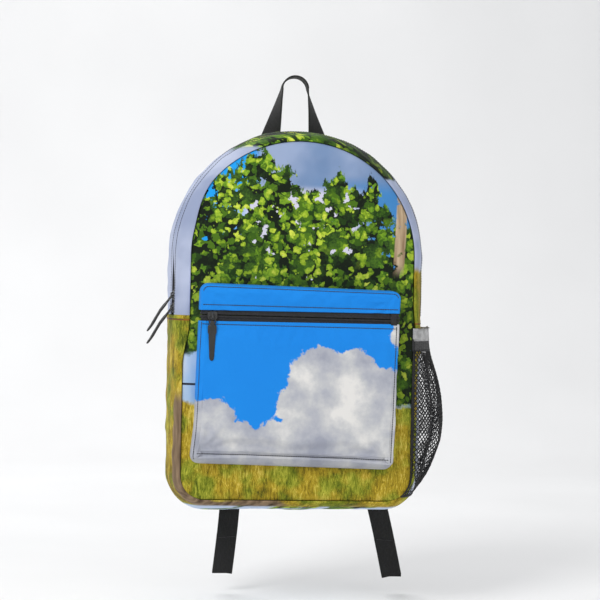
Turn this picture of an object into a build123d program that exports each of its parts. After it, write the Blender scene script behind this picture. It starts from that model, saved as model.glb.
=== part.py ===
from build123d import *
import math
import os

# A fabric daypack that hangs by its haul loop. Millimetres, +Z up, the front faces -Y.
# The origin is the inside top of the haul loop, where the loop rests on a peg.

# ---- main compartment ----
WIDTH = 300.0
HEIGHT = 450.0
DEPTH = 124.0
LOOP_RISE = 72.0  # from the top of the body to the inside top of the haul loop
CORNER_RADIUS = 45.0  # of the two bottom corners
BACK_Y = 6.0  # outer face of the back panel
PANEL = 3.5  # thickness of the front and back panels
GUSSET = 3.0  # thickness of the gusset, which is the wall between the two panels
# How far the outline is drawn in at each distance behind the front face.
BULGE = ((0.0, 16.0), (14.0, 7.0), (46.0, 0.0), (DEPTH, 4.0))
BINDING_WIDTH = 8.0
BINDING_THICKNESS = 1.5

TOP_Z = -LOOP_RISE
BOTTOM_Z = TOP_Z - HEIGHT
ARCH_Z = TOP_Z - WIDTH / 2  # centre of the round top
FRONT_Y = BACK_Y - DEPTH

# ---- zips ----
TAPE = 0.8
TAPE_WIDTH = 14.0  # one tape, from its inner edge
STRAND_IN = 1.0  # the row of teeth, measured across from the middle of the zip
STRAND_OUT = 3.2
STRAND_OVER = 1.6  # how far the teeth stand out from the tape's outer face
STRAND_UNDER = 1.2  # and how far behind that face they reach
SLIDER_LENGTH = 11.0
SLIDER_WIDTH = 9.6
PLATE = 1.2  # thickness of each of the slider's two plates
PLATE_GAP = 0.4  # between a plate and the teeth
FLANGE_GAP = 0.8  # between the slider's side flanges and the teeth
BAIL_HEIGHT = 3.4
LINK_WIRE = 0.7  # radius
LINK_LENGTH = 9.0
LINK_WIDTH = 7.0
TAB_LENGTH = 46.0
TAB_THICKNESS = 2.2
TAB_WIDE = 9.0
TAB_NARROW = 6.0
TAB_NECK = 5.0  # where it passes inside the link
SIDE_PULL_LEAN = 38.0  # how far the side pulls droop away from the bag, in degrees

MAIN_ZIP_BACK = 27.0  # behind the front face
MAIN_ZIP_END_Z = -293.0
MAIN_SLIT = 12.0
UPPER_SLIDER_Z = -270.0
LOWER_SLIDER_Z = -284.5
MAIN_ZIP_Y = FRONT_Y + MAIN_ZIP_BACK

# ---- front pocket ----
POCKET_WIDTH = 233.0
POCKET_TOP_Z = -257.0
POCKET_BOTTOM_Z = -465.0
POCKET_DEPTH = 26.0
POCKET_WALL = 2.0
POCKET_CORNER = 10.0
POCKET_ZIP_Z = -292.0
POCKET_SLIT = 14.0
FRONT_SLIDER_X = -102.0
POCKET_Y = FRONT_Y - POCKET_DEPTH

# ---- mesh side pocket: (z, how far out it stands, where its seams lie) ----
MESH_STATIONS = (
    (-307.0, 163.0, 136.0),
    (-333.0, 167.0, 136.0),
    (-363.0, 173.0, 136.0),
    (-400.0, 177.0, 136.0),
    (-434.0, 177.0, 136.0),
    (-470.0, 165.0, 134.0),
    (-498.0, 150.0, 120.0),
    (-511.0, 139.0, 96.0),
)
MESH_FRONT_Y = -108.0
MESH_BACK_Y = 0.0
MESH_WALL = 1.2
HEM_WALL = 2.2
HEM_LOW_Z = -324.0
ELASTIC_LOW_Z = -333.0

# ---- webbing ----
WEBBING_WIDTH = 25.0
WEBBING = 2.0
LOOP_RADIUS = 16.0  # of the haul loop's middle line, over the peg
LOOP_FOOT_X = 31.0

# ---- back and straps ----
PAD = 10.0
PAD_WIDTH = 230.0
PAD_TOP_Z = -150.0
PAD_BOTTOM_Z = -460.0
CHANNEL_WIDTH = 24.0
CHANNEL_DEPTH = 6.0
YOKE_WIDTH = 140.0
YOKE_HEIGHT = 26.0
YOKE_Z = -112.0
YOKE = 2.0
# One shoulder strap: (x, y, z), width, thickness. The other one is its mirror image.
STRAP_STATIONS = (
    ((42.0, 13.9, -112.0), 60.0, 8.0),
    ((52.0, 25.0, -150.0), 62.0, 12.0),
    ((72.0, 38.0, -210.0), 64.0, 12.0),
    ((84.0, 42.0, -260.0), 62.0, 12.0),
    ((82.0, 37.0, -310.0), 56.0, 12.0),
    ((74.0, 27.0, -350.0), 46.0, 10.0),
    ((70.0, 23.0, -372.0), 34.0, 6.0),
)
LOCK_X = 70.0
LOCK_Y = 23.0
LOCK_TOP_Z = -379.0  # axis of the ladder lock's top bar
LOCK_WIDTH = 36.0
LOCK_INSIDE = 27.0
LOCK_SIDE = 4.0  # thickness of the lock's side rails
LOCK_BAR = 2.0  # radius
LOCK_PITCH = 13.0  # from one bar to the next
LIP = 7.0
ANCHOR_X = 112.0
ANCHOR_Z = -484.0
ANCHOR_Y = BACK_Y + 1.5
LOWER_WEBBING = 1.6
TAIL_LENGTH = 224.0
WRAP_PAST_TOP = 1.5  # how far the tail reaches over the bar, which leaves it free to swing
TAIL_HEM = 50.0
TAIL_LEAN = {"left": 6.0, "right": 68.0}  # how far the tail's end lies outboard of its lock

# ---- laptop sleeve, inside against the back ----
SLEEVE_WIDTH = 256.0
SLEEVE_DEPTH = 26.0
SLEEVE_WALL = 3.0
SLEEVE_TOP_Z = -200.0
SLEEVE_BOTTOM_Z = -480.0


def save(shape, name):
    """Writes one sub-part to parts/NAME.step."""
    shape.label = name
    export_step(shape, f"parts/{name}.step")


def block(x, y, z):
    """A box between two values on each axis."""
    size = [abs(high - low) for low, high in (x, y, z)]
    centre = [(low + high) / 2 for low, high in (x, y, z)]
    return Pos(*centre) * Box(*size)


def slab(y0, y1):
    """All the space between two values of y."""
    return block((-400, 400), (y0, y1), (-700, 100))


def above(z):
    return block((-400, 400), (-400, 400), (z, 100))


def below(z):
    return block((-400, 400), (-400, 400), (-700, z))


# ---- the body's shape ----


def outline(y, inset):
    """The arched outline, drawn in by inset, as a face at y."""
    half = WIDTH / 2 - inset
    corner = CORNER_RADIUS - inset
    low = BOTTOM_Z + inset
    edges = [
        CenterArc((0, ARCH_Z), half, 0, 90),
        CenterArc((0, ARCH_Z), half, 90, 90),
        Line((-half, ARCH_Z), (-half, low + corner)),
        CenterArc((corner - half, low + corner), corner, 180, 90),
        Line((corner - half, low), (half - corner, low)),
        CenterArc((half - corner, low + corner), corner, 270, 90),
        Line((half, low + corner), (half, ARCH_Z)),
    ]
    return Plane.XZ.offset(-y) * make_face(Curve() + edges)


def envelope(inset):
    """The body as one solid, drawn in by inset all round but not at the front and back."""
    sections = [outline(FRONT_Y + back, inset + drawn_in) for back, drawn_in in BULGE]
    return loft(sections, ruled=True)


def ring(outer, inner, y0, y1):
    """The part of the wall between two insets that lies between two values of y."""
    return (envelope(outer) - envelope(inner)) & slab(y0, y1)


def bulge_inset(y):
    """The outline's inset at y."""
    for (back0, inset0), (back1, inset1) in zip(BULGE, BULGE[1:]):
        if FRONT_Y + back0 <= y <= FRONT_Y + back1:
            share = (y - FRONT_Y - back0) / (back1 - back0)
            return inset0 + share * (inset1 - inset0)
    raise ValueError(f"{y} isn't on the body")


def make_panels():
    body = envelope(0)
    save(body & slab(FRONT_Y, FRONT_Y + PANEL), "front_panel")
    save(body & slab(BACK_Y - PANEL, BACK_Y), "back_panel")


def make_gusset():
    wall = ring(0, GUSSET, FRONT_Y + PANEL, BACK_Y - PANEL)
    upper = wall & above(MAIN_ZIP_END_Z)
    save(upper & slab(FRONT_Y, MAIN_ZIP_Y - MAIN_SLIT / 2), "gusset_zip_front")
    save(upper & slab(MAIN_ZIP_Y + MAIN_SLIT / 2, BACK_Y), "gusset_zip_back")
    save(wall & below(MAIN_ZIP_END_Z), "gusset_base")


def make_seam_bindings():
    """The tapes that wrap the raw edges of the two seams, inside the bag."""
    inner = GUSSET + BINDING_WIDTH
    front = FRONT_Y + PANEL
    back = BACK_Y - PANEL
    save(ring(GUSSET, inner, front, front + BINDING_THICKNESS), "front_seam_binding")
    save(ring(GUSSET, inner, back - BINDING_THICKNESS, back), "back_seam_binding")


# ---- zips ----


def main_stringer(side):
    """One tape of the main zip with its row of teeth; side is -1 in front and 1 behind."""
    def between(near, far):
        return sorted((MAIN_ZIP_Y + side * near, MAIN_ZIP_Y + side * far))

    tape = ring(GUSSET, GUSSET + TAPE, *between(STRAND_IN, TAPE_WIDTH))
    teeth = ring(GUSSET - STRAND_OVER, GUSSET + STRAND_UNDER, *between(STRAND_IN, STRAND_OUT))
    return (tape + teeth) & above(MAIN_ZIP_END_Z)


def pocket_stringer(side):
    """One tape of the pocket zip with its row of teeth; side is -1 below and 1 above."""
    face = POCKET_Y + POCKET_WALL
    inside = POCKET_WIDTH / 2 - POCKET_WALL

    def between(near, far):
        return sorted((POCKET_ZIP_Z + side * near, POCKET_ZIP_Z + side * far))

    tape = block((-inside, inside), (face, face + TAPE), between(STRAND_IN, TAPE_WIDTH))
    teeth_y = (face - STRAND_OVER, face + STRAND_UNDER)
    teeth = block((-inside, inside), teeth_y, between(STRAND_IN, STRAND_OUT))
    return tape + teeth


def slider():
    """A zip slider: X along the zip, Z out of the bag, its tape's outer face at Z = 0."""
    outer_z = STRAND_OVER + PLATE_GAP
    inner_z = -STRAND_UNDER - PLATE_GAP
    plan = RectangleRounded(SLIDER_LENGTH, SLIDER_WIDTH, 2.4)
    outer = Pos(0, 0, outer_z) * extrude(plan, PLATE)
    inner = Pos(0, 0, inner_z - PLATE) * extrude(plan, PLATE)
    post = block((-2, 2), (-0.25, 0.25), (inner_z, outer_z))
    body = outer + inner + post
    for side in (-1, 1):
        y = sorted((side * (STRAND_OUT + FLANGE_GAP), side * SLIDER_WIDTH / 2))
        flange = block((-SLIDER_LENGTH / 2 + 2.4, SLIDER_LENGTH / 2 - 2.4), y, (0.4, outer_z))
        body += flange
    return body


def bail(across):
    """The bridge on the slider that holds the link; across turns it to lie across the zip."""
    base = STRAND_OVER + PLATE_GAP + PLATE
    bridge = block((-3.6, 3.6), (-1, 1), (base, base + BAIL_HEIGHT))
    bridge -= block((-2.4, 2.4), (-2, 2), (base, base + BAIL_HEIGHT - 1.1))
    return Rot(0, 0, 90 if across else 0) * bridge


def link_axis_height():
    """How far the link's top bar stands out from the tape's outer face."""
    return STRAND_OVER + PLATE_GAP + PLATE + (BAIL_HEIGHT - 1.1) / 2


def link():
    """The wire link: its top bar on the X axis, hanging down -Y, flat in the XY plane."""
    half = LINK_WIDTH / 2
    bar = Rot(0, 90, 0) * Cylinder(LINK_WIRE, LINK_WIDTH + 2 * LINK_WIRE)
    leg = Rot(90, 0, 0) * Cylinder(LINK_WIRE, LINK_LENGTH)
    ring_ = bar + Pos(0, -LINK_LENGTH, 0) * bar
    for x in (-half, half):
        ring_ += Pos(x, -LINK_LENGTH / 2, 0) * leg
    return ring_


def tab():
    """The moulded pull, straight: it hangs down -Y from the link's lower bar."""
    top = -LINK_LENGTH + 3.4
    low = top - TAB_LENGTH
    shape = Polygon(
        (-TAB_NECK / 2, top),
        (TAB_NECK / 2, top),
        (TAB_NECK / 2, top - 4.8),
        (TAB_WIDE / 2, top - 7),
        (TAB_WIDE / 2, top - 11),
        (TAB_NARROW / 2, low + 2),
        (TAB_NARROW / 2 - 2, low),
        (-TAB_NARROW / 2 + 2, low),
        (-TAB_NARROW / 2, low + 2),
        (-TAB_WIDE / 2, top - 11),
        (-TAB_WIDE / 2, top - 7),
        (-TAB_NECK / 2, top - 4.8),
        align=None,
    )
    solid = extrude(shape, TAB_THICKNESS / 2, both=True)
    wire_space = Pos(0, -LINK_LENGTH, 0) * Rot(0, 90, 0) * Cylinder(LINK_WIRE + 0.25, 20)
    return solid - wire_space


def make_zips():
    save(main_stringer(-1), "main_zip_stringer_front")
    save(main_stringer(1), "main_zip_stringer_back")
    save(pocket_stringer(1), "front_zip_stringer_upper")
    save(pocket_stringer(-1), "front_zip_stringer_lower")


def make_front_slider():
    origin = (FRONT_SLIDER_X, POCKET_Y + POCKET_WALL, POCKET_ZIP_Z)
    place = Plane(origin=origin, x_dir=(1, 0, 0), z_dir=(0, -1, 0)).location
    hinge = place * Pos(0, 0, link_axis_height())
    save(place * (slider() + bail(True)), "front_slider")
    save(hinge * link(), "front_pull_link")
    save(hinge * tab(), "front_pull_tab")


def side_slider_place(z):
    """The place of a main zip slider on the left side of the body, at height z."""
    inset = bulge_inset(MAIN_ZIP_Y)
    slope = (bulge_inset(MAIN_ZIP_Y - 5) - bulge_inset(MAIN_ZIP_Y + 5)) / 10
    lean = math.atan(slope)
    outward = (-math.cos(lean), -math.sin(lean), 0)
    origin = (-(WIDTH / 2 - inset - GUSSET), MAIN_ZIP_Y, z)
    return Plane(origin=origin, x_dir=(0, 0, 1), z_dir=outward).location


def make_side_slider(name, z):
    """A main zip slider with its pull, which droops away from the bag."""
    place = side_slider_place(z)
    hinge = place * Pos(0, 0, link_axis_height()) * Rot(0, SIDE_PULL_LEAN, 0) * Rot(0, 0, -90)
    save(place * (slider() + bail(False)), f"{name}_slider")
    save(hinge * link(), f"{name}_pull_link")
    save(hinge * tab(), f"{name}_pull_tab")
    axis = place * Pos(0, 0, link_axis_height())
    print(f"{name} pull hinge at {axis.position}")


# ---- front pocket ----


def pocket_solid(inset):
    """The pocket's block, drawn in by inset on all sides but the back."""
    width = POCKET_WIDTH - 2 * inset
    height = POCKET_TOP_Z - POCKET_BOTTOM_Z - 2 * inset
    shape = RectangleRounded(width, height, POCKET_CORNER - inset)
    middle = (POCKET_TOP_Z + POCKET_BOTTOM_Z) / 2
    face = Plane(origin=(0, FRONT_Y, middle), x_dir=(1, 0, 0), z_dir=(0, -1, 0)) * shape
    return extrude(face, POCKET_DEPTH - inset)


def make_front_pocket():
    wall = pocket_solid(0) - pocket_solid(POCKET_WALL)
    save(wall & above(POCKET_ZIP_Z + POCKET_SLIT / 2), "front_pocket_band")
    save(wall & below(POCKET_ZIP_Z - POCKET_SLIT / 2), "front_pocket_bag")
    # The fabric ends of the zip close the slit at the pocket's two sides.
    inside = POCKET_WIDTH / 2 - POCKET_WALL
    slit = (POCKET_ZIP_Z - POCKET_SLIT / 2, POCKET_ZIP_Z + POCKET_SLIT / 2)
    save(block((-inside - POCKET_WALL, -inside), (POCKET_Y, FRONT_Y), slit), "front_zip_end_left")
    save(block((inside, inside + POCKET_WALL), (POCKET_Y, FRONT_Y), slit), "front_zip_end_right")


# ---- mesh pocket ----


def mesh_solid(wall, top):
    """The space inside the mesh pocket's outer face, drawn in by wall, up to top."""
    sections = []
    for index, (z, out, seam) in enumerate(MESH_STATIONS):
        middle = (MESH_FRONT_Y + MESH_BACK_Y) / 2
        front, back = (seam, MESH_FRONT_Y + wall), (seam, MESH_BACK_Y - wall)
        edges = [ThreePointArc(front, (out - wall, middle), back), Line(back, front)]
        height = top if index == 0 else z
        sections.append(Plane.XY.offset(height) * make_face(Curve() + edges))
    return loft(sections, ruled=True)


def make_mesh_pocket():
    body = envelope(0)
    top = MESH_STATIONS[0][0]
    hem = mesh_solid(0, top) - mesh_solid(HEM_WALL, top + 10) - body
    net = mesh_solid(0, top) - mesh_solid(MESH_WALL, top + 10) - body
    save(hem & above(HEM_LOW_Z), "mesh_pocket_hem")
    save(hem & below(HEM_LOW_Z) & above(ELASTIC_LOW_Z), "mesh_pocket_elastic")
    save(net & below(ELASTIC_LOW_Z), "mesh_pocket_net")


# ---- webbing ----


def ribbon(stations):
    """A strip through stations of (centre, width direction, width, thickness)."""
    sections = []
    for index, (centre, across, width, thickness) in enumerate(stations):
        before = Vector(*stations[max(index - 1, 0)][0])
        after = Vector(*stations[min(index + 1, len(stations) - 1)][0])
        along = (after - before).normalized()
        side = Vector(*across)
        side = (side - along * side.dot(along)).normalized()
        plane = Plane(origin=centre, x_dir=side, z_dir=along)
        sections.append(plane * Rectangle(width, thickness))
    return loft(sections, ruled=True)


def haul_loop():
    """Each leg turns a quarter of the way round, so that the webbing lies flat on the peg."""
    centre_z = WEBBING / 2 - LOOP_RADIUS
    leg_steps = 7
    arc_steps = 10
    foot_z = TOP_Z - 14
    leg = []
    for step in range(leg_steps + 1):
        share = step / leg_steps
        x = LOOP_FOOT_X + (LOOP_RADIUS - LOOP_FOOT_X) * share ** 0.8
        z = foot_z + (centre_z - foot_z) * share
        turn = math.radians(90 * min(1, max(0, (share - 0.15) / 0.7)))
        leg.append(((x, 0, z), (math.cos(turn), math.sin(turn), 0)))
    stations = [((-x, 0, z), (c, -s, 0)) for (x, _, z), (c, s, _) in leg]
    for step in range(1, arc_steps):
        angle = math.pi * (1 - step / arc_steps)
        x, z = LOOP_RADIUS * math.cos(angle), centre_z + LOOP_RADIUS * math.sin(angle)
        stations.append(((x, 0, z), (0, -1, 0)))
    stations += [(point, (-c, -s, 0)) for point, (c, s, _) in reversed(leg)]
    return ribbon([(point, across, WEBBING_WIDTH, WEBBING) for point, across in stations])


def make_haul_loop():
    save(haul_loop() - envelope(0), "haul_loop")


# ---- back ----


def make_back():
    top, low = PAD_TOP_Z, PAD_BOTTOM_Z
    shape = RectangleRounded(PAD_WIDTH, top - low, 30)
    face = Plane(origin=(0, BACK_Y, (top + low) / 2), x_dir=(1, 0, 0), z_dir=(0, -1, 0)) * shape
    pad = extrude(face, -PAD)
    channel_y = (BACK_Y + PAD - CHANNEL_DEPTH, BACK_Y + PAD)
    pad -= block((-CHANNEL_WIDTH / 2, CHANNEL_WIDTH / 2), channel_y, (low, top))
    save(pad, "back_padding")
    yoke_z = (YOKE_Z - YOKE_HEIGHT / 2, YOKE_Z + YOKE_HEIGHT / 2)
    yoke = block((-YOKE_WIDTH / 2, YOKE_WIDTH / 2), (BACK_Y, BACK_Y + YOKE), yoke_z)
    save(yoke, "strap_yoke")


def make_laptop_sleeve():
    """A padded pocket against the back panel, open at the top."""
    back = BACK_Y - PANEL - BINDING_THICKNESS
    half = SLEEVE_WIDTH / 2
    front = back - SLEEVE_DEPTH
    z = (SLEEVE_BOTTOM_Z, SLEEVE_TOP_Z)
    outer = block((-half, half), (front, back), z)
    inner_z = (SLEEVE_BOTTOM_Z + SLEEVE_WALL, SLEEVE_TOP_Z)
    inner = block((SLEEVE_WALL - half, half - SLEEVE_WALL), (front + SLEEVE_WALL, back), inner_z)
    save(outer - inner, "laptop_sleeve")


# ---- straps ----


def mirrored(point, side):
    return (point[0] * side, point[1], point[2])


def ladder_lock(side):
    """The plastic ladder lock: two side rails, three bars and a lip to lift it by."""
    x = LOCK_X * side
    half = LOCK_WIDTH / 2
    low = LOCK_TOP_Z - 2 * LOCK_PITCH - LIP
    lock = None
    for end in (-1, 1):
        rail_x = sorted((x + end * LOCK_INSIDE / 2, x + end * half))
        rail_y = (LOCK_Y - LOCK_SIDE / 2, LOCK_Y + LOCK_SIDE / 2)
        rail = block(rail_x, rail_y, (low + 2, LOCK_TOP_Z + LOCK_BAR))
        lock = rail if lock is None else lock + rail
    for bar in range(3):
        place = Pos(x, LOCK_Y, LOCK_TOP_Z - bar * LOCK_PITCH) * Rot(0, 90, 0)
        lock += place * Cylinder(LOCK_BAR, LOCK_WIDTH - 2)
    lip_z = (low, LOCK_TOP_Z - 2 * LOCK_PITCH)
    lock += block((x - half, x + half), (LOCK_Y - 0.5, LOCK_Y + LOCK_BAR), lip_z)
    return lock


def wrap(side, bar_z, low_z, outer):
    """Webbing round one of the lock's bars; outer is its outside radius."""
    x = LOCK_X * side
    place = Pos(x, LOCK_Y, bar_z) * Rot(0, 90, 0)
    tube = place * Cylinder(outer, WEBBING_WIDTH) - place * Cylinder(outer - LOWER_WEBBING, 60)
    return tube & block((-400, 400), (LOCK_Y - 50, LOCK_Y + 50), (low_z, bar_z + 50))


def make_strap(name, side):
    stations = [(mirrored(at, side), (1, 0, 0), wide, thick) for at, wide, thick in STRAP_STATIONS]
    save(ribbon(stations), f"shoulder_strap_{name}")
    wrap_radius = LOCK_BAR + 0.5 + LOWER_WEBBING
    x = LOCK_X * side
    half = WEBBING_WIDTH / 2
    strap_end_z = STRAP_STATIONS[-1][0][2] - 2.4
    neck_y = (LOCK_Y - LOWER_WEBBING, LOCK_Y + LOWER_WEBBING)
    neck_z = (LOCK_TOP_Z + wrap_radius - 0.6, strap_end_z)
    loop = wrap(side, LOCK_TOP_Z, -700, wrap_radius)
    save(loop + block((x - half, x + half), neck_y, neck_z), f"strap_end_loop_{name}")
    save(ladder_lock(side), f"ladder_lock_{name}")

    # The adjusting webbing runs up from the anchor and ends behind the middle bar.
    bar_z = LOCK_TOP_Z - LOCK_PITCH
    near_y = LOCK_Y - wrap_radius + LOWER_WEBBING / 2
    lower = [
        ((ANCHOR_X * side, ANCHOR_Y + 2.6, ANCHOR_Z), (1, 0, 0.3 * side)),
        ((ANCHOR_X * side * 0.93, near_y - 1.4, ANCHOR_Z + 24), (1, 0, 0.3 * side)),
        ((LOCK_X * side, near_y - 0.6, bar_z - LOCK_PITCH - 3), (1, 0, 0)),
        ((LOCK_X * side, near_y, bar_z - 1), (1, 0, 0)),
    ]
    strips = [(point, across, WEBBING_WIDTH, LOWER_WEBBING) for point, across in lower]
    save(ribbon(strips), f"adjuster_webbing_{name}")
    tail_parts(name, side, bar_z, wrap_radius)

    x, half = ANCHOR_X * side, 20
    corners = ((x - half, ANCHOR_Z - 6), (x + half, ANCHOR_Z - 6), (x + half, ANCHOR_Z + 16))
    face = Plane(origin=(0, BACK_Y, 0), x_dir=(1, 0, 0), z_dir=(0, -1, 0)) * Polygon(
        *corners, (x - half, ANCHOR_Z + 16), align=None
    )
    save(extrude(face, -1.6), f"strap_anchor_{name}")


def tail_parts(name, side, bar_z, wrap_radius):
    """The free end: over the middle bar from behind, then straight down past the bag."""
    past_top = slab(LOCK_Y - WRAP_PAST_TOP, LOCK_Y + wrap_radius)
    over = wrap(side, bar_z, bar_z, wrap_radius) & past_top
    y = LOCK_Y + wrap_radius - LOWER_WEBBING / 2
    lean = TAIL_LEAN[name] * side
    top = (LOCK_X * side, y, bar_z)
    end = (LOCK_X * side + lean, y, bar_z - TAIL_LENGTH)
    strip = ribbon([(point, (1, 0, 0), WEBBING_WIDTH, LOWER_WEBBING) for point in (top, end)])
    share = TAIL_HEM / TAIL_LENGTH
    hem_top = tuple(e + (t - e) * share for t, e in zip(top, end))
    hem = [(px, py + LOWER_WEBBING, pz) for px, py, pz in (hem_top, end)]
    strip += ribbon([(point, (1, 0, 0), WEBBING_WIDTH, LOWER_WEBBING) for point in hem])
    save(over + strip, f"webbing_tail_{name}")


def main():
    os.makedirs("parts", exist_ok=True)
    make_panels()
    make_gusset()
    make_seam_bindings()
    make_zips()
    make_front_slider()
    make_side_slider("upper", UPPER_SLIDER_Z)
    make_side_slider("lower", LOWER_SLIDER_Z)
    make_front_pocket()
    make_mesh_pocket()
    make_haul_loop()
    make_back()
    make_laptop_sleeve()
    for name, side in (("left", -1), ("right", 1)):
        make_strap(name, side)


main()
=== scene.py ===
import math

import bmesh
import bpy
import numpy as np
from mathutils import Matrix, Vector
from mathutils.bvhtree import BVHTree


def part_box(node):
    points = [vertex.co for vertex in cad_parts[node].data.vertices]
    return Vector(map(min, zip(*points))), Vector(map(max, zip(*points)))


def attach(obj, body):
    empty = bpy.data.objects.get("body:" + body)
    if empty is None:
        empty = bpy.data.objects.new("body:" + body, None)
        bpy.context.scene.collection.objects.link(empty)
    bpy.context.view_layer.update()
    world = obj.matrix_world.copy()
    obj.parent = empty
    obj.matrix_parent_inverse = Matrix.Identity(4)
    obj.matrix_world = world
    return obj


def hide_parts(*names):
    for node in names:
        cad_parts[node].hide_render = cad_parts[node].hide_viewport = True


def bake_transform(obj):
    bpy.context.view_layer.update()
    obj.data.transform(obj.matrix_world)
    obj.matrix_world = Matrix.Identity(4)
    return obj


# The looks of a fabric daypack that hangs by its haul loop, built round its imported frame.
# Lengths are in millimetres here and become metres where a mesh is made.
# The front faces -Y, the back +Y, and the origin is the inside top of the haul loop.

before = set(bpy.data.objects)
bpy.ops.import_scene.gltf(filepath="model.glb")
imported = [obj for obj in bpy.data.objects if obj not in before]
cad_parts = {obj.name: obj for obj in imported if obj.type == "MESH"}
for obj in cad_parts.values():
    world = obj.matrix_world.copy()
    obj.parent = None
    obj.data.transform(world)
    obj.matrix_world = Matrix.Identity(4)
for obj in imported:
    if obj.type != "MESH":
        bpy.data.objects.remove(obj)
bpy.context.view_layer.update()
MM = 0.001

# ---- camera: straight at the front, a little from the left, with the bag tilted in the view ----
CAMERA_DISTANCE = 2000
CAMERA_AZIMUTH = -5.5
CAMERA_ELEVATION = 0.5
CAMERA_ROLL = 1.2
CAMERA_AIM = (6.5, -56, -273)
CAMERA_LENS = 100


def make_camera():
    azimuth, elevation = math.radians(CAMERA_AZIMUTH), math.radians(CAMERA_ELEVATION)
    toward = Vector((math.sin(azimuth), -math.cos(azimuth), math.sin(elevation))).normalized()
    camera = bpy.data.objects.new("camera", bpy.data.cameras.new("camera"))
    camera.location = (Vector(CAMERA_AIM) + toward * CAMERA_DISTANCE) * MM
    turn = toward.to_track_quat("Z", "Y") @ Matrix.Rotation(
        math.radians(CAMERA_ROLL), 3, "Z"
    ).to_quaternion()
    camera.rotation_euler = turn.to_euler()
    camera.data.lens = CAMERA_LENS
    camera.data.clip_end = 20
    bpy.context.collection.objects.link(camera)
    bpy.context.scene.camera = camera


make_camera()

# ---- sizes shared with the frame, read from its nodes ----


def node_box(name):
    """A frame node's lowest and highest corners, in millimetres."""
    low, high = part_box(name)
    return np.array(low) / MM, np.array(high) / MM


BODY_LOW, BODY_HIGH = node_box("gusset_base")
_, TOP_HIGH = node_box("gusset_zip_back")
FRONT_LOW, _ = node_box("front_panel")
_, BACK_HIGH = node_box("back_panel")
HALF_WIDTH = BODY_HIGH[0]
TOP_Z = TOP_HIGH[2]
BOTTOM_Z = BODY_LOW[2]
ARCH_Z = TOP_Z - HALF_WIDTH
FRONT_Y = FRONT_LOW[1]
BACK_Y = BACK_HIGH[1]
CORNER_RADIUS = 45
BASE_TOP_Z = BODY_HIGH[2]  # where the zipped gusset meets the base gusset
BEFORE_BAG, BEHIND_BAG = -200, 60  # rays that find the cloth for stitches start from here


# ---- mesh helpers ----


def make_object(name, vertices, faces, material, uv=None):
    """A mesh object from points in millimetres; uv is one (u, v) in metres for each point."""
    mesh = bpy.data.meshes.new(name)
    mesh.from_pydata([tuple(float(c) * MM for c in v) for v in vertices], [], faces)
    mesh.validate()
    if uv is not None:
        layer = mesh.uv_layers.new(name="cloth")
        for loop in mesh.loops:
            layer.data[loop.index].uv = uv[loop.vertex_index]
    mesh.polygons.foreach_set("use_smooth", [True] * len(mesh.polygons))
    made = bpy.data.objects.new(name, mesh)
    bpy.context.collection.objects.link(made)
    if material is not None:
        mesh.materials.append(material)
    return made


def finish_piece(piece, body, nodes=()):
    """Rides the piece on its body, and hides the frame nodes it stands for."""
    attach(piece, body)
    if nodes:
        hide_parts(*nodes)
    return piece


def grid_faces(rows, columns, closed=False, flip=False, offset=0):
    """Quads over a grid of points stored row by row; closed joins the last column to the first."""
    faces = []
    for row in range(rows - 1):
        for column in range(columns if closed else columns - 1):
            right = (column + 1) % columns
            quad = (
                offset + row * columns + column,
                offset + row * columns + right,
                offset + (row + 1) * columns + right,
                offset + (row + 1) * columns + column,
            )
            faces.append(quad[::-1] if flip else quad)
    return faces


def end_caps(rings, around):
    """The faces that close the first and the last ring of a tube made by grid_faces."""
    last = (rings - 1) * around
    return [tuple(range(around))[::-1], tuple(range(last, last + around))]


def distances_along(points):
    """How far along a path each of its points lies, from 0."""
    steps = np.linalg.norm(np.diff(points, axis=0), axis=1)
    return np.concatenate([[0], np.cumsum(steps)])


def apply_modifiers(piece):
    """Replaces the piece's mesh with what its modifiers make of it."""
    graph = bpy.context.evaluated_depsgraph_get()
    graph.update()
    shown = bpy.data.meshes.new_from_object(piece.evaluated_get(graph))
    piece.modifiers.clear()
    old = piece.data
    piece.data = shown
    bpy.data.meshes.remove(old)


def add_thickness(piece, thickness, subdivide=0):
    """Makes a sheet into cloth of a thickness in millimetres, inward from its face."""
    solid = piece.modifiers.new("thickness", "SOLIDIFY")
    solid.thickness = thickness * MM
    solid.offset = -1
    if subdivide:
        smooth = piece.modifiers.new("smooth", "SUBSURF")
        smooth.levels = smooth.render_levels = subdivide
    apply_modifiers(piece)


def get_points(piece):
    """The piece's vertices in millimetres."""
    points = np.empty(len(piece.data.vertices) * 3)
    piece.data.vertices.foreach_get("co", points)
    return points.reshape(-1, 3) / MM


def set_points(piece, points):
    piece.data.vertices.foreach_set("co", (points * MM).ravel())
    piece.data.update()


def smooth_step(low, high, value):
    share = np.clip((value - low) / (high - low), 0, 1)
    return share * share * (3 - 2 * share)


def value_noise(points, size, seed):
    """Smooth noise from -1 to 1 over points, with cells of the given size in millimetres."""
    scaled = np.asarray(points, float) / size
    cell = np.floor(scaled).astype(np.int64)
    part = scaled - cell
    part = part * part * (3 - 2 * part)
    total = np.zeros(len(scaled))
    for corner in range(2 ** scaled.shape[1]):
        weight = np.ones(len(scaled))
        key = np.full(len(scaled), seed * 7919, np.int64)
        for axis in range(scaled.shape[1]):
            step = corner >> axis & 1
            weight *= part[:, axis] if step else 1 - part[:, axis]
            key = key * 1000003 + (cell[:, axis] + step) * (axis * 8191 + 31337)
        key = (key ^ (key >> 13)) * 1274126177
        key = (key ^ (key >> 16)) & 0xFFFFFF
        total += weight * (key / 0xFFFFFF * 2 - 1)
    return total


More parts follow.
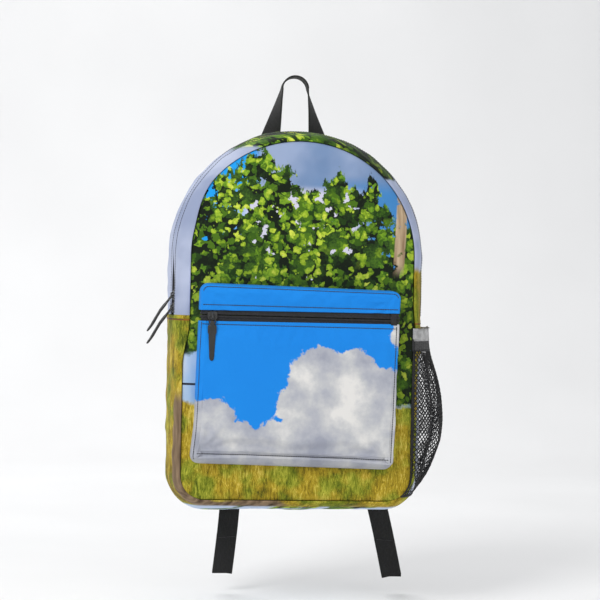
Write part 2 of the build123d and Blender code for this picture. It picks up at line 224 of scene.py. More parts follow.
def wrinkles(points, size, seed, octaves=3):
    """Ridged noise, from 0 to 1, that looks like soft creases in cloth."""
    total, weight = np.zeros(len(points)), 0
    for octave in range(octaves):
        share = 0.5**octave
        total += share * (1 - np.abs(value_noise(points, size * share, seed + octave)))
        weight += share
    return (total / weight) ** 3


def strip_mesh(name, stations, thickness, material, columns=8):
    """Webbing through stations of (centre, direction across, width), with rounded edges."""
    centres = np.array([station[0] for station in stations], float)
    points, uv = [], []
    travelled = 0.0
    across_steps = np.linspace(-1, 1, columns + 1)
    for index, (_, across, width) in enumerate(stations):
        before, after = centres[max(index - 1, 0)], centres[min(index + 1, len(centres) - 1)]
        along = (after - before) / np.linalg.norm(after - before)
        side = np.array(across, float)
        side -= along * side.dot(along)
        side /= np.linalg.norm(side)
        normal = np.cross(along, side)
        if index:
            travelled += np.linalg.norm(centres[index] - centres[index - 1])
        for face in (1, -1):
            for step in across_steps * face:
                edge = 1 - 0.55 * smooth_step(0.86, 1.0, abs(step))
                rise = face * thickness / 2 * edge
                points.append(centres[index] + side * step * width / 2 + normal * rise)
                uv.append(((step * width / 2) * MM, travelled * MM))
    around = 2 * (columns + 1)
    faces = grid_faces(len(stations), around, closed=True) + end_caps(len(stations), around)
    return make_object(name, points, faces, material, uv=uv)


def curve_points(controls, count):
    """Evenly spaced points on a smooth curve through the controls."""
    controls = np.array(controls, float)
    padded = np.vstack([2 * controls[0] - controls[1], controls, 2 * controls[-1] - controls[-2]])
    fine = []
    for index in range(len(controls) - 1):
        p0, p1, p2, p3 = padded[index : index + 4]
        for t in np.linspace(0, 1, 24, endpoint=False):
            fine.append(
                0.5
                * (
                    2 * p1
                    + (p2 - p0) * t
                    + (2 * p0 - 5 * p1 + 4 * p2 - p3) * t**2
                    + (3 * p1 - p0 - 3 * p2 + p3) * t**3
                )
            )
    fine.append(controls[-1])
    fine = np.array(fine)
    lengths = distances_along(fine[:, :3])
    wanted = np.linspace(0, lengths[-1], count)
    return np.stack([np.interp(wanted, lengths, fine[:, k]) for k in range(fine.shape[1])], axis=1)


def tube_mesh(name, paths, radius, material, sides=6):
    """Round threads or wires, one along each path of points."""
    points, faces = [], []
    for path in paths:
        path = np.asarray(path, float)
        start = len(points)
        normal = None
        for index, centre in enumerate(path):
            along = path[min(index + 1, len(path) - 1)] - path[max(index - 1, 0)]
            along = along / (np.linalg.norm(along) or 1)
            if normal is None:
                helper = np.array((0, 0, 1.0)) if abs(along[2]) < 0.9 else np.array((1.0, 0, 0))
                normal = np.cross(along, helper)
            normal = normal - along * normal.dot(along)
            normal /= np.linalg.norm(normal)
            side = np.cross(along, normal)
            for corner in range(sides):
                angle = 2 * math.pi * corner / sides
                points.append(centre + radius * (math.cos(angle) * normal + math.sin(angle) * side))
        faces += grid_faces(len(path), sides, closed=True, offset=start, flip=True)
        faces.append(tuple(range(start, start + sides)))
        end = start + (len(path) - 1) * sides
        faces.append(tuple(range(end, end + sides))[::-1])
    return make_object(name, points, faces, material)


def stitch_row(piece, line, direction, pitch=2.7, length=2.2):
    """Stitches laid on a piece below a line: one short thread path for each stitch."""
    line = np.array(line, float)
    lengths = distances_along(line)
    count = max(2, int(lengths[-1] / pitch))
    paths = []
    offsets = np.array([-0.5, -0.3, 0.0, 0.3, 0.5]) * length
    lifts = np.array([-0.25, 0.1, 0.2, 0.1, -0.25])
    for number in range(count):
        at = (number + 0.5) * lengths[-1] / count
        places = [[np.interp(at + o, lengths, line[:, k]) for k in range(3)] for o in offsets]
        hits = cast_cache(piece, places, direction)
        if any(hit is None for hit in hits):
            continue
        paths.append([p + n * lift for (p, n), lift in zip(hits, lifts)])
    return paths


_trees = {}


def cast_cache(piece, origins, direction):
    """Where rays meet the piece: points, and normals that face against the rays, or None."""
    if piece.name not in _trees:
        mesh = piece.data
        _trees[piece.name] = BVHTree.FromPolygons(
            [v.co.copy() for v in mesh.vertices], [tuple(p.vertices) for p in mesh.polygons]
        )
    hits = []
    ray = Vector(direction)
    for origin in origins:
        place, normal, _, _ = _trees[piece.name].ray_cast(Vector(origin) * MM, ray)
        if place is None:
            hits.append(None)
            continue
        if normal.dot(ray) > 0:
            normal = -normal
        hits.append((np.array(place) / MM, np.array(normal)))
    return hits


# ---- rims: closed outlines made of straight lines and arcs ----


class Rim:
    """A closed outline in X and Z. It can be drawn in evenly along its normals."""

    def __init__(self, half_width, low, high, low_radius, high_radius):
        w, r, t = half_width, low_radius, high_radius
        self.parts = [
            ("line", (0, low), (1, 0), w - r),
            ("arc", (w - r, low + r), r, -90, 90),
            ("line", (w, low + r), (0, 1), high - t - low - r),
            ("arc", (w - t, high - t), t, 0, 90),
            ("line", (w - t, high), (-1, 0), 2 * (w - t)),
            ("arc", (t - w, high - t), t, 90, 90),
            ("line", (-w, high - t), (0, -1), high - t - low - r),
            ("arc", (r - w, low + r), r, 180, 90),
            ("line", (r - w, low), (1, 0), w - r),
        ]
        self.lengths = [
            part[3] if part[0] == "line" else math.radians(part[4]) * part[2] for part in self.parts
        ]
        self.total = sum(self.lengths)

    def at(self, distance, inset=0.0):
        """The point at a distance along the rim, and the outward normal there."""
        distance = distance % self.total
        for part, length in zip(self.parts, self.lengths):
            if distance <= length or part is self.parts[-1]:
                break
            distance -= length
        if part[0] == "line":
            _, start, along, _ = part
            point = np.array(start, float) + np.array(along) * distance
            normal = np.array((along[1], -along[0]), float)
        else:
            _, centre, radius, start, _ = part
            angle = math.radians(start) + distance / max(radius, 1e-6)
            normal = np.array((math.cos(angle), math.sin(angle)))
            point = np.array(centre, float) + normal * radius
        return point - normal * inset, normal

    def middle(self, number):
        """How far along the rim the middle of one of its parts lies."""
        return sum(self.lengths[:number]) + self.lengths[number] / 2


class Patch:
    """Evenly spaced places round a rim, split at its four corners, with a grid to fill it."""

    def __init__(self, rim, columns, rows):
        self.rim, self.columns, self.rows = rim, columns, rows
        right_low, right_high, left_high, left_low = (rim.middle(part) for part in (1, 3, 5, 7))
        left_low -= rim.total
        sides = (
            (left_low, right_low, columns),
            (right_low, right_high, rows),
            (right_high, left_high, columns),
            (left_high, left_low + rim.total, rows),
        )
        self.places = [
            start + (end - start) * step / count for start, end, count in sides for step in range(count)
        ]

    def ring(self, inset, y):
        """The rim's points at one inset and depth; y may differ from place to place."""
        depth = y if callable(y) else lambda place: y
        points = []
        for place in self.places:
            (x, z), _ = self.rim.at(place, inset(place) if callable(inset) else inset)
            points.append((x, depth(place), z))
        return np.array(points)

    def fill(self, inset):
        """A grid of (x, z) inside the rim, whose edge is the rim itself, and its edge's indices."""
        edge = self.ring(inset, 0)[:, (0, 2)]
        c, r = self.columns, self.rows
        low = edge[: c + 1]
        right = edge[c : c + r + 1]
        high = edge[c + r : 2 * c + r + 1][::-1]
        left = np.vstack([edge[2 * c + r :], edge[:1]])[::-1]
        grid = np.zeros((r + 1, c + 1, 2))
        for i in range(r + 1):
            v = i / r
            for j in range(c + 1):
                u = j / c
                corners = (
                    (1 - u) * (1 - v) * low[0]
                    + u * (1 - v) * low[-1]
                    + (1 - u) * v * high[0]
                    + u * v * high[-1]
                )
                grid[i, j] = (
                    (1 - v) * low[j] + v * high[j] + (1 - u) * left[i] + u * right[i] - corners
                )
        index = [(0, j) for j in range(c)]
        index += [(i, c) for i in range(r)]
        index += [(r, j) for j in range(c, 0, -1)]
        index += [(i, 0) for i in range(r, 0, -1)]
        return grid, [i * (c + 1) + j for i, j in index]


BODY_RIM = Rim(HALF_WIDTH, BOTTOM_Z, TOP_Z, CORNER_RADIUS, HALF_WIDTH)
BODY = Patch(BODY_RIM, 72, 104)
# How far round the rim, to the right, the base gusset ends.
BASE_TOP_PLACE = sum(BODY_RIM.lengths[:2]) + BASE_TOP_Z - (BOTTOM_Z + CORNER_RADIUS)

# The gusset's section: how far it is drawn in at each distance behind the front face.
DEPTH = BACK_Y - FRONT_Y
GUSSET_PROFILE = (
    (0.0, 15.5),
    (1.5, 12.6),
    (5.0, 9.6),
    (12.0, 6.4),
    (27.0, 2.6),
    (46.0, 0.0),
    (78.0, -0.8),
    (105.0, 0.6),
    (118.0, 2.6),
    (DEPTH, 5.5),
)
FRONT_SEAM = 1.5  # the front seam lies this far behind the panel's face
MAIN_ZIP_BACK = 27.0


def gusset_inset(back):
    depths, insets = zip(*GUSSET_PROFILE)
    return float(np.interp(back, depths, insets))


def slit_half_width(place):
    """Half the width of the zip's slit: open by the sliders, nearly closed elsewhere."""
    (x, z), _ = BODY_RIM.at(place)
    open_side = smooth_step(-205, -258, z) if x < 0 else smooth_step(-275, -291, z)
    return 0.45 + 5.2 * float(open_side) ** 1.4


def seam_shift(x, z):
    """How far the front seam is pulled: in by the zip's end on the left, out by the right pocket."""
    by_zip = smooth_step(-120, -190, z) * smooth_step(-350, -300, z) * smooth_step(-60, -120, x)
    by_pocket = smooth_step(-270, -320, z) * smooth_step(-505, -470, z) * smooth_step(60, 120, x)
    return 7.5 * by_zip - 3.2 * by_pocket


def front_seam_inset(place):
    (x, z), _ = BODY_RIM.at(place)
    return gusset_inset(0) + float(seam_shift(x, z))


def inside_outline(flat):
    """How far inside the body's outline each (x, z) lies."""
    x, z = flat[:, 0], flat[:, 1]
    straight = np.minimum(HALF_WIDTH - np.abs(x), z - BOTTOM_Z)
    return np.where(z > ARCH_Z, HALF_WIDTH - np.hypot(x, z - ARCH_Z), straight)


def front_panel_points(grid):
    """The front panel's domed face over a grid of (x, z)."""
    flat = grid.reshape(-1, 2)
    points = np.stack([flat[:, 0], np.full(len(flat), FRONT_Y), flat[:, 1]], axis=1)
    edge = inside_outline(flat) - gusset_inset(0) - seam_shift(flat[:, 0], flat[:, 1])
    edge = np.clip(edge, 0, None)
    dome = 5.5 * (1 - np.exp(-edge / 16)) - 1.5 * np.exp(-edge / 1.6)
    upper = smooth_step(-270, -200, flat[:, 1])
    dome += 5.0 * upper * smooth_step(10, 80, edge)
    crease = wrinkles(points[:, (0, 2)] + (0, 900), 46, 3) * smooth_step(0, 12, edge)
    pucker = value_noise(points[:, (0, 2)], 15, 9) * np.exp(-edge / 9) * smooth_step(0, 3, edge)
    points[:, 1] -= dome + 2.6 * crease - 1.0 + 0.8 * pucker
    points[:, 1] -= 0.25 * value_noise(points[:, (0, 2)], 7, 21) * smooth_step(0, 4, edge)
    return points


def make_front_panel(material):
    grid, _ = BODY.fill(front_seam_inset)
    points = front_panel_points(grid)
    faces = grid_faces(BODY.rows + 1, BODY.columns + 1)
    uv = points[:, (0, 2)] * MM
    panel = make_object("front_panel_cloth", points, faces, material, uv=uv)
    add_thickness(panel, 1.2, subdivide=1)
    return finish_piece(panel, "bag", ["front_panel"])


def gusset_strip(name, backs, material, keep, seed, node):
    """A strip of the gusset between two depths; backs may depend on the place round the rim."""
    places = [place for place in BODY.places if keep(BODY_RIM.at(place)[0])]
    # Start the open strip where the rim jumps over the part that isn't kept.
    jump = max(range(len(places)), key=lambda i: (places[i] - places[i - 1]) % BODY_RIM.total)
    places = places[jump:] + places[:jump]
    places = [last_place(places[0], -1, keep)] + places + [last_place(places[-1], 1, keep)]
    rows = len(backs(0.0))
    points, uv = [], []
    for place in places:
        for back in backs(place):
            shift = (front_seam_inset(place) - gusset_inset(0)) * math.exp(-back / 9)
            (x, z), _ = BODY_RIM.at(place, gusset_inset(back) + shift)
            points.append((x, FRONT_Y + back, z))
            uv.append((place * MM, back * MM))
    points = np.array(points)
    normals = np.array([BODY_RIM.at(place)[1] for place in places]).repeat(rows, axis=0)
    back = points[:, 1] - FRONT_Y
    wave = value_noise(points, 42, seed) * 1.6 + wrinkles(points, 34, seed + 5) * 2.4 - 0.8
    free = smooth_step(0, 9, back) * smooth_step(0, 7, DEPTH - back)
    free *= 0.25 + 0.75 * smooth_step(2, 16, np.abs(back - MAIN_ZIP_BACK))
    points[:, 0] += normals[:, 0] * wave * free
    points[:, 2] += normals[:, 1] * wave * free
    faces = grid_faces(len(places), rows)
    strip = make_object(name, points, faces, material, uv=uv)
    add_thickness(strip, 1.2, subdivide=1)
    return finish_piece(strip, "bag", [node])


def last_place(place, step, keep):
    """The furthest place in one direction that is still kept, to a hundredth of a millimetre."""
    low, high = 0.0, 8.0
    while high - low > 0.01:
        middle = (low + high) / 2
        if keep(BODY_RIM.at(place + step * middle)[0]):
            low = middle
        else:
            high = middle
    return place + step * low


def spaced(start, end, pitch):
    count = max(2, int(round((end - start) / pitch)) + 1)
    return list(np.linspace(start, end, count))


def make_gusset(material):
    edge_rows = [0.0, FRONT_SEAM, 3.0, 5.0, 8.0, 12.0]
    base_rows = edge_rows + spaced(16, DEPTH - 12, 4.0) + [DEPTH - 8, DEPTH - 4, DEPTH]

    def front_rows(place):
        edge = MAIN_ZIP_BACK - slit_half_width(place)
        share = np.linspace(0, 1, 7)[1:]
        return edge_rows[:4] + [5.0 + (edge - 5.0) * s for s in share]

    def back_rows(place):
        edge = MAIN_ZIP_BACK + slit_half_width(place)
        share = np.linspace(0, 1, 20)[:-1]
        return [edge + (DEPTH - 8 - edge) * s for s in share] + [DEPTH - 8, DEPTH - 4, DEPTH]

    def upper(point):
        return point[1] >= BASE_TOP_Z - 1.5

    def lower(point):
        return point[1] <= BASE_TOP_Z

    strips = (
        ("gusset_front_cloth", front_rows, upper, 31, "gusset_zip_front", (29, 613)),
        ("gusset_back_cloth", back_rows, upper, 31, "gusset_zip_back", (97, 613)),
        ("gusset_base_cloth", lambda _: base_rows, lower, 47, "gusset_base", (126, 719)),
    )
    return [
        gusset_strip(name, rows, material, keep, seed, node)
        for name, rows, keep, seed, node, flat in strips
    ]


def make_back_panel(material):
    grid, _ = BODY.fill(gusset_inset(DEPTH))
    flat = grid.reshape(-1, 2)
    edge = np.clip(inside_outline(flat) - gusset_inset(DEPTH), 0, None)
    bulge = 2.2 * (1 - np.exp(-edge / 10)) - 1.6 + 0.7 * value_noise(flat, 40, 77)
    points = np.stack([flat[:, 0], BACK_Y + np.clip(bulge, -2, 2.0), flat[:, 1]], axis=1)
    faces = grid_faces(BODY.rows + 1, BODY.columns + 1, flip=True)
    panel = make_object("back_panel_cloth", points, faces, material, uv=points[:, (0, 2)] * MM)
    add_thickness(panel, 1.2)
    return finish_piece(panel, "bag", ["back_panel"])


# ---- materials ----


class Shader:
    """A short way to write a node material. Sockets and plain values both work as inputs."""

    def __init__(self, name, **shader_values):
        self.material = bpy.data.materials.new(name)
        self.material.use_nodes = True
        self.tree = self.material.node_tree
        self.shader = self.tree.nodes["Principled BSDF"]
        for key, value in shader_values.items():
            self.shader.inputs[key.replace("_", " ")].default_value = value
        self.coordinates = self.tree.nodes.new("ShaderNodeTexCoord").outputs["Object"]

    def node(self, kind, inputs=(), **settings):
        node = self.tree.nodes.new(kind)
        for key, value in settings.items():
            setattr(node, key, value)
        for key, value in dict(inputs).items():
            if isinstance(value, bpy.types.NodeSocket):
                self.tree.links.new(value, node.inputs[key])
            else:
                node.inputs[key].default_value = value
        return node

    def math(self, operation, *values, clamp=False):
        inputs = dict(enumerate(values))
        return self.node("ShaderNodeMath", inputs, operation=operation, use_clamp=clamp).outputs[0]

    def mix(self, share, low, high, blend="MIX"):
        inputs = {0: share, 6: low, 7: high}
        node = self.node("ShaderNodeMix", inputs, data_type="RGBA", blend_type=blend)
        return node.outputs[2]

    def axes(self, vector=None):
        node = self.node("ShaderNodeSeparateXYZ", {0: vector or self.coordinates})
        return node.outputs[0], node.outputs[1], node.outputs[2]

    def vector(self, x, y, z):
        return self.node("ShaderNodeCombineXYZ", {0: x, 1: y, 2: z}).outputs[0]

    def scaled(self, vector, scale):
        inputs = {0: vector, 1: scale}
        return self.node("ShaderNodeVectorMath", inputs, operation="MULTIPLY").outputs[0]

    def noise(self, scale, vector=None, detail=2.0, roughness=0.5, distortion=0.0):
        inputs = {
            "Vector": vector or self.coordinates,
            "Scale": scale,
            "Detail": detail,
            "Roughness": roughness,
            "Distortion": distortion,
        }
        return self.node("ShaderNodeTexNoise", inputs).outputs[0]

    def cells(self, scale, vector):
        return self.node("ShaderNodeTexVoronoi", {"Vector": vector, "Scale": scale})

    def waves(self, scale, vector, direction="X", distortion=0.0):
        inputs = {"Vector": vector, "Scale": scale, "Distortion": distortion}
        return self.node("ShaderNodeTexWave", inputs, bands_direction=direction).outputs["Fac"]

    def step(self, value, low, high):
        """0 below low, 1 above high and smooth between; low may be the larger one."""
        inputs = {"Value": value, 1: low, 2: high}
        node = self.node("ShaderNodeMapRange", inputs, interpolation_type="SMOOTHSTEP")
        return node.outputs[0]

    def ramp(self, value, *stops):
        node = self.node("ShaderNodeValToRGB", {0: value})
        elements = node.color_ramp.elements
        while len(elements) < len(stops):
            elements.new(0.5)
        for element, (position, color) in zip(elements, stops):
            element.position = position
            element.color = (*color, 1)
        return node.outputs[0]

    def color(self, value):
        self.set("Base Color", value)

    def set(self, name, value):
        if isinstance(value, bpy.types.NodeSocket):
            self.tree.links.new(value, self.shader.inputs[name])
        else:
            self.shader.inputs[name].default_value = value

    def bump(self, height, strength, distance):
        inputs = {"Height": height, "Strength": strength, "Distance": distance * MM}
        self.set("Normal", self.node("ShaderNodeBump", inputs).outputs[0])

    def plain_weave(self, pitch):
        """The height of a plain weave of the given thread pitch in millimetres."""
        x, y, z = self.axes()
        across = self.math("ADD", x, self.math("MULTIPLY", y, 0.6))
        turn = 2 * math.pi / (2 * pitch * MM)
        warp = self.math("SINE", self.math("MULTIPLY", across, turn))
        weft = self.math("SINE", self.math("MULTIPLY", self.math("SUBTRACT", z, y), turn))
        return self.math("MULTIPLY", warp, weft)


WEAVE_PITCH = 0.55


def cloth_surface(shader, weave_share=0.5):
    """The weave, the slub and the soft unevenness that every printed panel shares."""
    weave = shader.plain_weave(WEAVE_PITCH)
    slub = shader.noise(900, shader.scaled(shader.coordinates, (1, 1, 0.25)), detail=3)
    soft = shader.noise(70, detail=3)
    height = shader.math("MULTIPLY_ADD", weave, weave_share, slub)
    height = shader.math("MULTIPLY_ADD", soft, 1.5, height)
    shader.bump(height, 0.35, 0.25)
    shader.set("Roughness", shader.math("MULTIPLY_ADD", slub, 0.12, 0.72))


def printed_cloth(name):
    return Shader(name, Sheen_Weight=0.03, Sheen_Roughness=0.4, Specular_IOR_Level=0.2)


# Layers of leaves from the shade to the light: size, and the colours from dim to bright.
LEAF_LAYERS = (
    (48, ((0.003, 0.008, 0.002), (0.018, 0.050, 0.006), (0.070, 0.165, 0.012))),
    (66, ((0.012, 0.040, 0.003), (0.075, 0.190, 0.010), (0.250, 0.410, 0.022))),
    (88, ((0.035, 0.095, 0.005), (0.150, 0.300, 0.014), (0.430, 0.560, 0.040))),
    (125, ((0.060, 0.140, 0.006), (0.260, 0.400, 0.018), (0.620, 0.680, 0.080))),
)


def leaf_color(shader, plane):
    """Vine leaves in overlapping layers, with lobed edges, veins and deep shade between them."""
    bent = plane
    for scale, reach in ((45.0, 0.016), (150.0, 0.010)):
        bend = shader.node("ShaderNodeTexNoise", {"Vector": plane, "Scale": scale, "Detail": 3.0})
        wander = shader.scaled(bend.outputs["Color"], (reach,) * 3)
        bent = shader.node("ShaderNodeVectorMath", {0: bent, 1: wander}, operation="ADD").outputs[0]
    fine = shader.noise(330, plane, detail=5, roughness=0.7)
    coarse = shader.noise(22, plane, detail=3)
    result = None
    for number, (scale, (dim, middle, bright)) in enumerate(LEAF_LAYERS):
        shifted = shader.vector(*[shader.math("ADD", axis, 0.37 * number) for axis in shader.axes(bent)])
        cell = shader.cells(scale, shifted)
        tone, pick, _ = shader.axes(cell.outputs["Color"])
        distance = cell.outputs["Distance"]
        fold = shader.math("MULTIPLY_ADD", shader.math("SUBTRACT", fine, 0.5), 1.3, tone)
        fold = shader.math("MULTIPLY_ADD", shader.math("SUBTRACT", coarse, 0.5), 1.0, fold)
        light = shader.math("SUBTRACT", fold, shader.math("MULTIPLY", distance, 0.75), clamp=True)
        color = shader.ramp(light, (0.0, dim), (0.4, middle), (0.85, bright))
        if result is None:
            result = color
            continue
        edge = shader.math("SUBTRACT", 0.58, distance)
        here = shader.math("MULTIPLY", shader.step(pick, 0.44, 0.48), shader.step(edge, 0.0, 0.04))
        result = shader.mix(here, result, color)
    return result


def grass_color(shader, plane):
    """Dry golden grass with greener stems, drawn upright."""
    tall = shader.scaled(plane, (1.0, 1.0, 0.20))
    blades = shader.noise(430, tall, detail=8, roughness=0.85, distortion=1.2)
    patches = shader.noise(24, plane, detail=4)
    clumps = shader.noise(70, shader.scaled(plane, (1, 1, 0.5)), detail=4)
    value = shader.math("MULTIPLY_ADD", shader.math("SUBTRACT", clumps, 0.5), 0.45, blades)
    dry = shader.ramp(
        value,
        (0.34, (0.030, 0.026, 0.003)),
        (0.44, (0.230, 0.165, 0.008)),
        (0.55, (0.450, 0.320, 0.020)),
        (0.68, (0.800, 0.640, 0.160)),
    )
    green = shader.ramp(
        value,
        (0.34, (0.020, 0.036, 0.003)),
        (0.48, (0.160, 0.190, 0.008)),
        (0.68, (0.540, 0.520, 0.060)),
    )
    return shader.mix(shader.step(patches, 0.44, 0.60), dry, green)


# The top of the hedge: places across and heights, in millimetres.
HEDGE_TOP = (
    (-112, -128),
    (-85, -116),
    (-45, -100),
    (-20, -120),
    (2, -146),
    (22, -138),
    (42, -122),
    (62, -140),
    (84, -134),
    (108, -172),
)
HEDGE_HALF = 0.13
HEDGE_LOW, HEDGE_RISE = -200, 120


def make_vineyard_print():
    """The front panel's print: sky, a hedge of vine leaves with a post, and dry grass."""
    shader = printed_cloth("printed_vineyard")
    x, _, z = shader.axes()
    plane = shader.vector(x, 0.0, z)
    haze = shader.noise(9, plane, detail=3, distortion=0.4)
    lavender = shader.mix(shader.step(haze, 0.35, 0.7), (0.150, 0.235, 0.400, 1), (0.280, 0.350, 0.510, 1))
    blue_band = shader.math("MULTIPLY", shader.step(x, 0.0, 0.06), shader.step(z, -0.125, -0.150))
    corner = shader.math("MULTIPLY", shader.step(x, -0.046, -0.058), shader.step(z, -0.088, -0.100))
    sky = shader.mix(blue_band, lavender, (0.050, 0.210, 0.480, 1))
    sky = shader.mix(corner, sky, (0.010, 0.300, 0.740, 1))
    low_cloud = shader.math(
        "MULTIPLY", shader.step(z, -0.138, -0.152), shader.step(shader.math("ABSOLUTE", x), 0.085, 0.055)
    )
    sky = shader.mix(low_cloud, sky, (0.58, 0.57, 0.68, 1))

    # The hedge's top edge: two humps, broken by shoots.
    across = shader.math("MULTIPLY_ADD", x, 1 / (2 * HEDGE_HALF), 0.5, clamp=True)
    stops = [
        (0.5 + at * MM / (2 * HEDGE_HALF), ((top - HEDGE_LOW) / HEDGE_RISE,) * 3)
        for at, top in HEDGE_TOP
    ]
    outline = shader.axes(shader.ramp(across, *stops))[0]
    edge = shader.math("MULTIPLY_ADD", outline, HEDGE_RISE * MM, HEDGE_LOW * MM)
    upright = shader.vector(x, 0.0, shader.math("MULTIPLY", z, 0.3))
    shoots = shader.noise(42, upright, detail=6, roughness=0.75)
    edge = shader.math("MULTIPLY_ADD", shader.math("SUBTRACT", shoots, 0.52), 0.110, edge)
    hedge = shader.step(shader.math("SUBTRACT", edge, z), -0.002, 0.002)
    gaps = shader.noise(62, plane, detail=5, roughness=0.6)
    gap_level = shader.math("MULTIPLY_ADD", shader.step(z, -0.15, -0.27), 0.09, 0.578)
    hole = shader.step(shader.math("SUBTRACT", gaps, gap_level), 0.0, 0.012)
    hedge = shader.math("MULTIPLY", hedge, shader.math("SUBTRACT", 1.0, hole))
    leaves = leaf_color(shader, plane)
    shadow = shader.step(z, -0.19, -0.30)
    leaves = shader.mix(shader.math("MULTIPLY", shadow, 0.35), leaves, (0.010, 0.018, 0.004, 1))
    color = shader.mix(hedge, sky, leaves)

    # The tan post at the right.
    slant = shader.math("MULTIPLY_ADD", z, 0.05, 0.1265)
    away = shader.math("ABSOLUTE", shader.math("SUBTRACT", x, slant))
    post = shader.math("MULTIPLY", shader.step(away, 0.0075, 0.0055), shader.step(z, -0.128, -0.136))
    post = shader.math("MULTIPLY", post, shader.step(shader.math("SUBTRACT", gaps, 0.60), 0.02, -0.06))
    post = shader.math("MULTIPLY", post, shader.step(z, -0.246, -0.225))
    grain = shader.noise(160, shader.scaled(plane, (1, 1, 0.08)), detail=4)
    wood = shader.ramp(grain, (0.3, (0.200, 0.120, 0.060)), (0.7, (0.640, 0.500, 0.330)))
    color = shader.mix(post, color, wood)

    # Below the hedge: pale sky with a wire, then the grass.
    rag = shader.math("MULTIPLY_ADD", shader.noise(40, plane, detail=5), 0.036, -0.018)
    ragged = shader.math("ADD", z, rag)
    left_side = shader.step(x, -0.060, -0.100)
    gap_top = shader.math("MULTIPLY_ADD", left_side, 0.057, -0.392)
    open_sky = shader.step(shader.math("SUBTRACT", gap_top, ragged), -0.002, 0.002)
    pale = shader.mix(shader.step(haze, 0.4, 0.6), (0.235, 0.400, 0.610, 1), (0.500, 0.580, 0.700, 1))
    color = shader.mix(open_sky, color, pale)
    wire = shader.math("ABSOLUTE", shader.math("ADD", z, 0.372))
    wire = shader.math("MULTIPLY", shader.step(wire, 0.0016, 0.0009), open_sky)
    color = shader.mix(wire, color, (0.02, 0.02, 0.03, 1))
    ground = shader.step(ragged, -0.390, -0.396)
    color = shader.mix(ground, color, grass_color(shader, plane))
    shader.color(color)
    cloth_surface(shader)
    return shader.material


def make_gusset_print():
    """The gusset's print, wrapped round the bag: sky on the sides, leaves on top, grass low down."""
    shader = printed_cloth("printed_gusset")
    x, y, z = shader.axes()
    plane = shader.vector(shader.math("ADD", x, y), shader.math("MULTIPLY", y, 0.8), z)
    haze = shader.noise(14, plane, detail=3)
    lavender = shader.mix(shader.step(haze, 0.35, 0.65), (0.270, 0.315, 0.455, 1), (0.430, 0.475, 0.610, 1))
    leaves = leaf_color(shader, plane)
    shade = shader.math("MULTIPLY", shader.step(x, 0.02, 0.07), 0.62)
    dark = shader.mix(shade, leaves, (0.010, 0.014, 0.010, 1))
    rough_edge = shader.math("MULTIPLY_ADD", shader.noise(30, plane, detail=4), 0.020, z)
    # The leafy part reaches a little further down in front on the left, and far down on the right.
    reach = shader.math("MULTIPLY_ADD", shader.step(x, -0.06, 0.06), -0.030, -0.088)
    top = shader.step(shader.math("SUBTRACT", rough_edge, reach), -0.002, 0.003)
    color = shader.mix(top, lavender, dark)

    # The right side: sky, a band of bark, then grass.
    right = shader.step(x, 0.0, 0.02)
    grass = grass_color(shader, plane)
    bark_grain = shader.noise(150, shader.scaled(plane, (1, 1, 0.10)), detail=5)
    bark = shader.ramp(bark_grain, (0.3, (0.050, 0.028, 0.014)), (0.7, (0.330, 0.230, 0.140)))
    right_low = shader.math("MULTIPLY", right, shader.step(rough_edge, -0.225, -0.232))
    color = shader.mix(right_low, color, grass)

    below = shader.step(z, -0.2922, -0.2928)
    wiggle = shader.math("MULTIPLY_ADD", shader.noise(11, plane, detail=2), 0.050, -0.135)
    trunk = shader.math("ABSOLUTE", shader.math("SUBTRACT", y, wiggle))
    trunk = shader.math("MULTIPLY", shader.step(trunk, 0.010, 0.007), shader.step(z, -0.375, -0.395))
    trunk = shader.math("MULTIPLY", trunk, shader.step(x, 0.0, -0.02))
    ground = shader.mix(trunk, grass, bark)
    # A darker brown line across the grass near its top: painted shade of a fold in the cloth.
    fold = shader.step(shader.math("ABSOLUTE", shader.math("ADD", z, 0.2979)), 0.0013, 0.0007)
    ground = shader.mix(fold, ground, (0.230, 0.085, 0.010, 1))
    color = shader.mix(below, color, ground)

    # Behind the mesh pocket the print is sky again, pale in front and deep blue further back.
    pocket_side = shader.math("MULTIPLY", right, shader.step(rough_edge, -0.322, -0.330))
    pocket_side = shader.math("MULTIPLY", pocket_side, shader.step(y, -0.116, -0.114))
    pocket_side = shader.math("MULTIPLY", pocket_side, shader.step(z, -0.501, -0.499))
    deep = shader.step(shader.math("ADD", y, shader.math("MULTIPLY", haze, 0.03)), -0.072, -0.058)
    far_sky = shader.mix(deep, (0.460, 0.500, 0.600, 1), (0.010, 0.090, 0.230, 1))
    color = shader.mix(pocket_side, color, far_sky)

    # The underside shows a strip of sky and leaves.
    under = shader.step(z, -0.5125, -0.5155)
    patches = shader.noise(26, plane, detail=4)
    strip = shader.mix(shader.step(patches, 0.48, 0.54), (0.52, 0.62, 0.80, 1), leaves)
    color = shader.mix(under, color, strip)
    shader.color(color)
    cloth_surface(shader)
    return shader.material


def circle_distance(shader, x, z, centre_x, centre_z, radius):
    """How far inside a circle a point lies, in metres; negative outside it."""
    dx = shader.math("SUBTRACT", x, centre_x * MM)
    dz = shader.math("SUBTRACT", z, centre_z * MM)
    squared = shader.math("MULTIPLY_ADD", dx, dx, shader.math("MULTIPLY", dz, dz))
    return shader.math("SUBTRACT", radius * MM, shader.math("SQRT", squared))


# Heaps of cloud on the pocket's print: centre across, centre up and radius.
CLOUD_HEAPS = (
    (22, -362, 36),
    (58, -358, 32),
    (98, -382, 34),
    (10, -398, 38),
    (50, -410, 60),
    (120, -420, 56),
    (-20, -448, 40),
    (-98, -412, 27),
    (-116, -420, 32),
    (-76, -438, 28),
    (-112, -466, 34),
    (-50, -478, 40),
    (0, -486, 48),
    (60, -490, 60),
    (126, -310, 22),
)


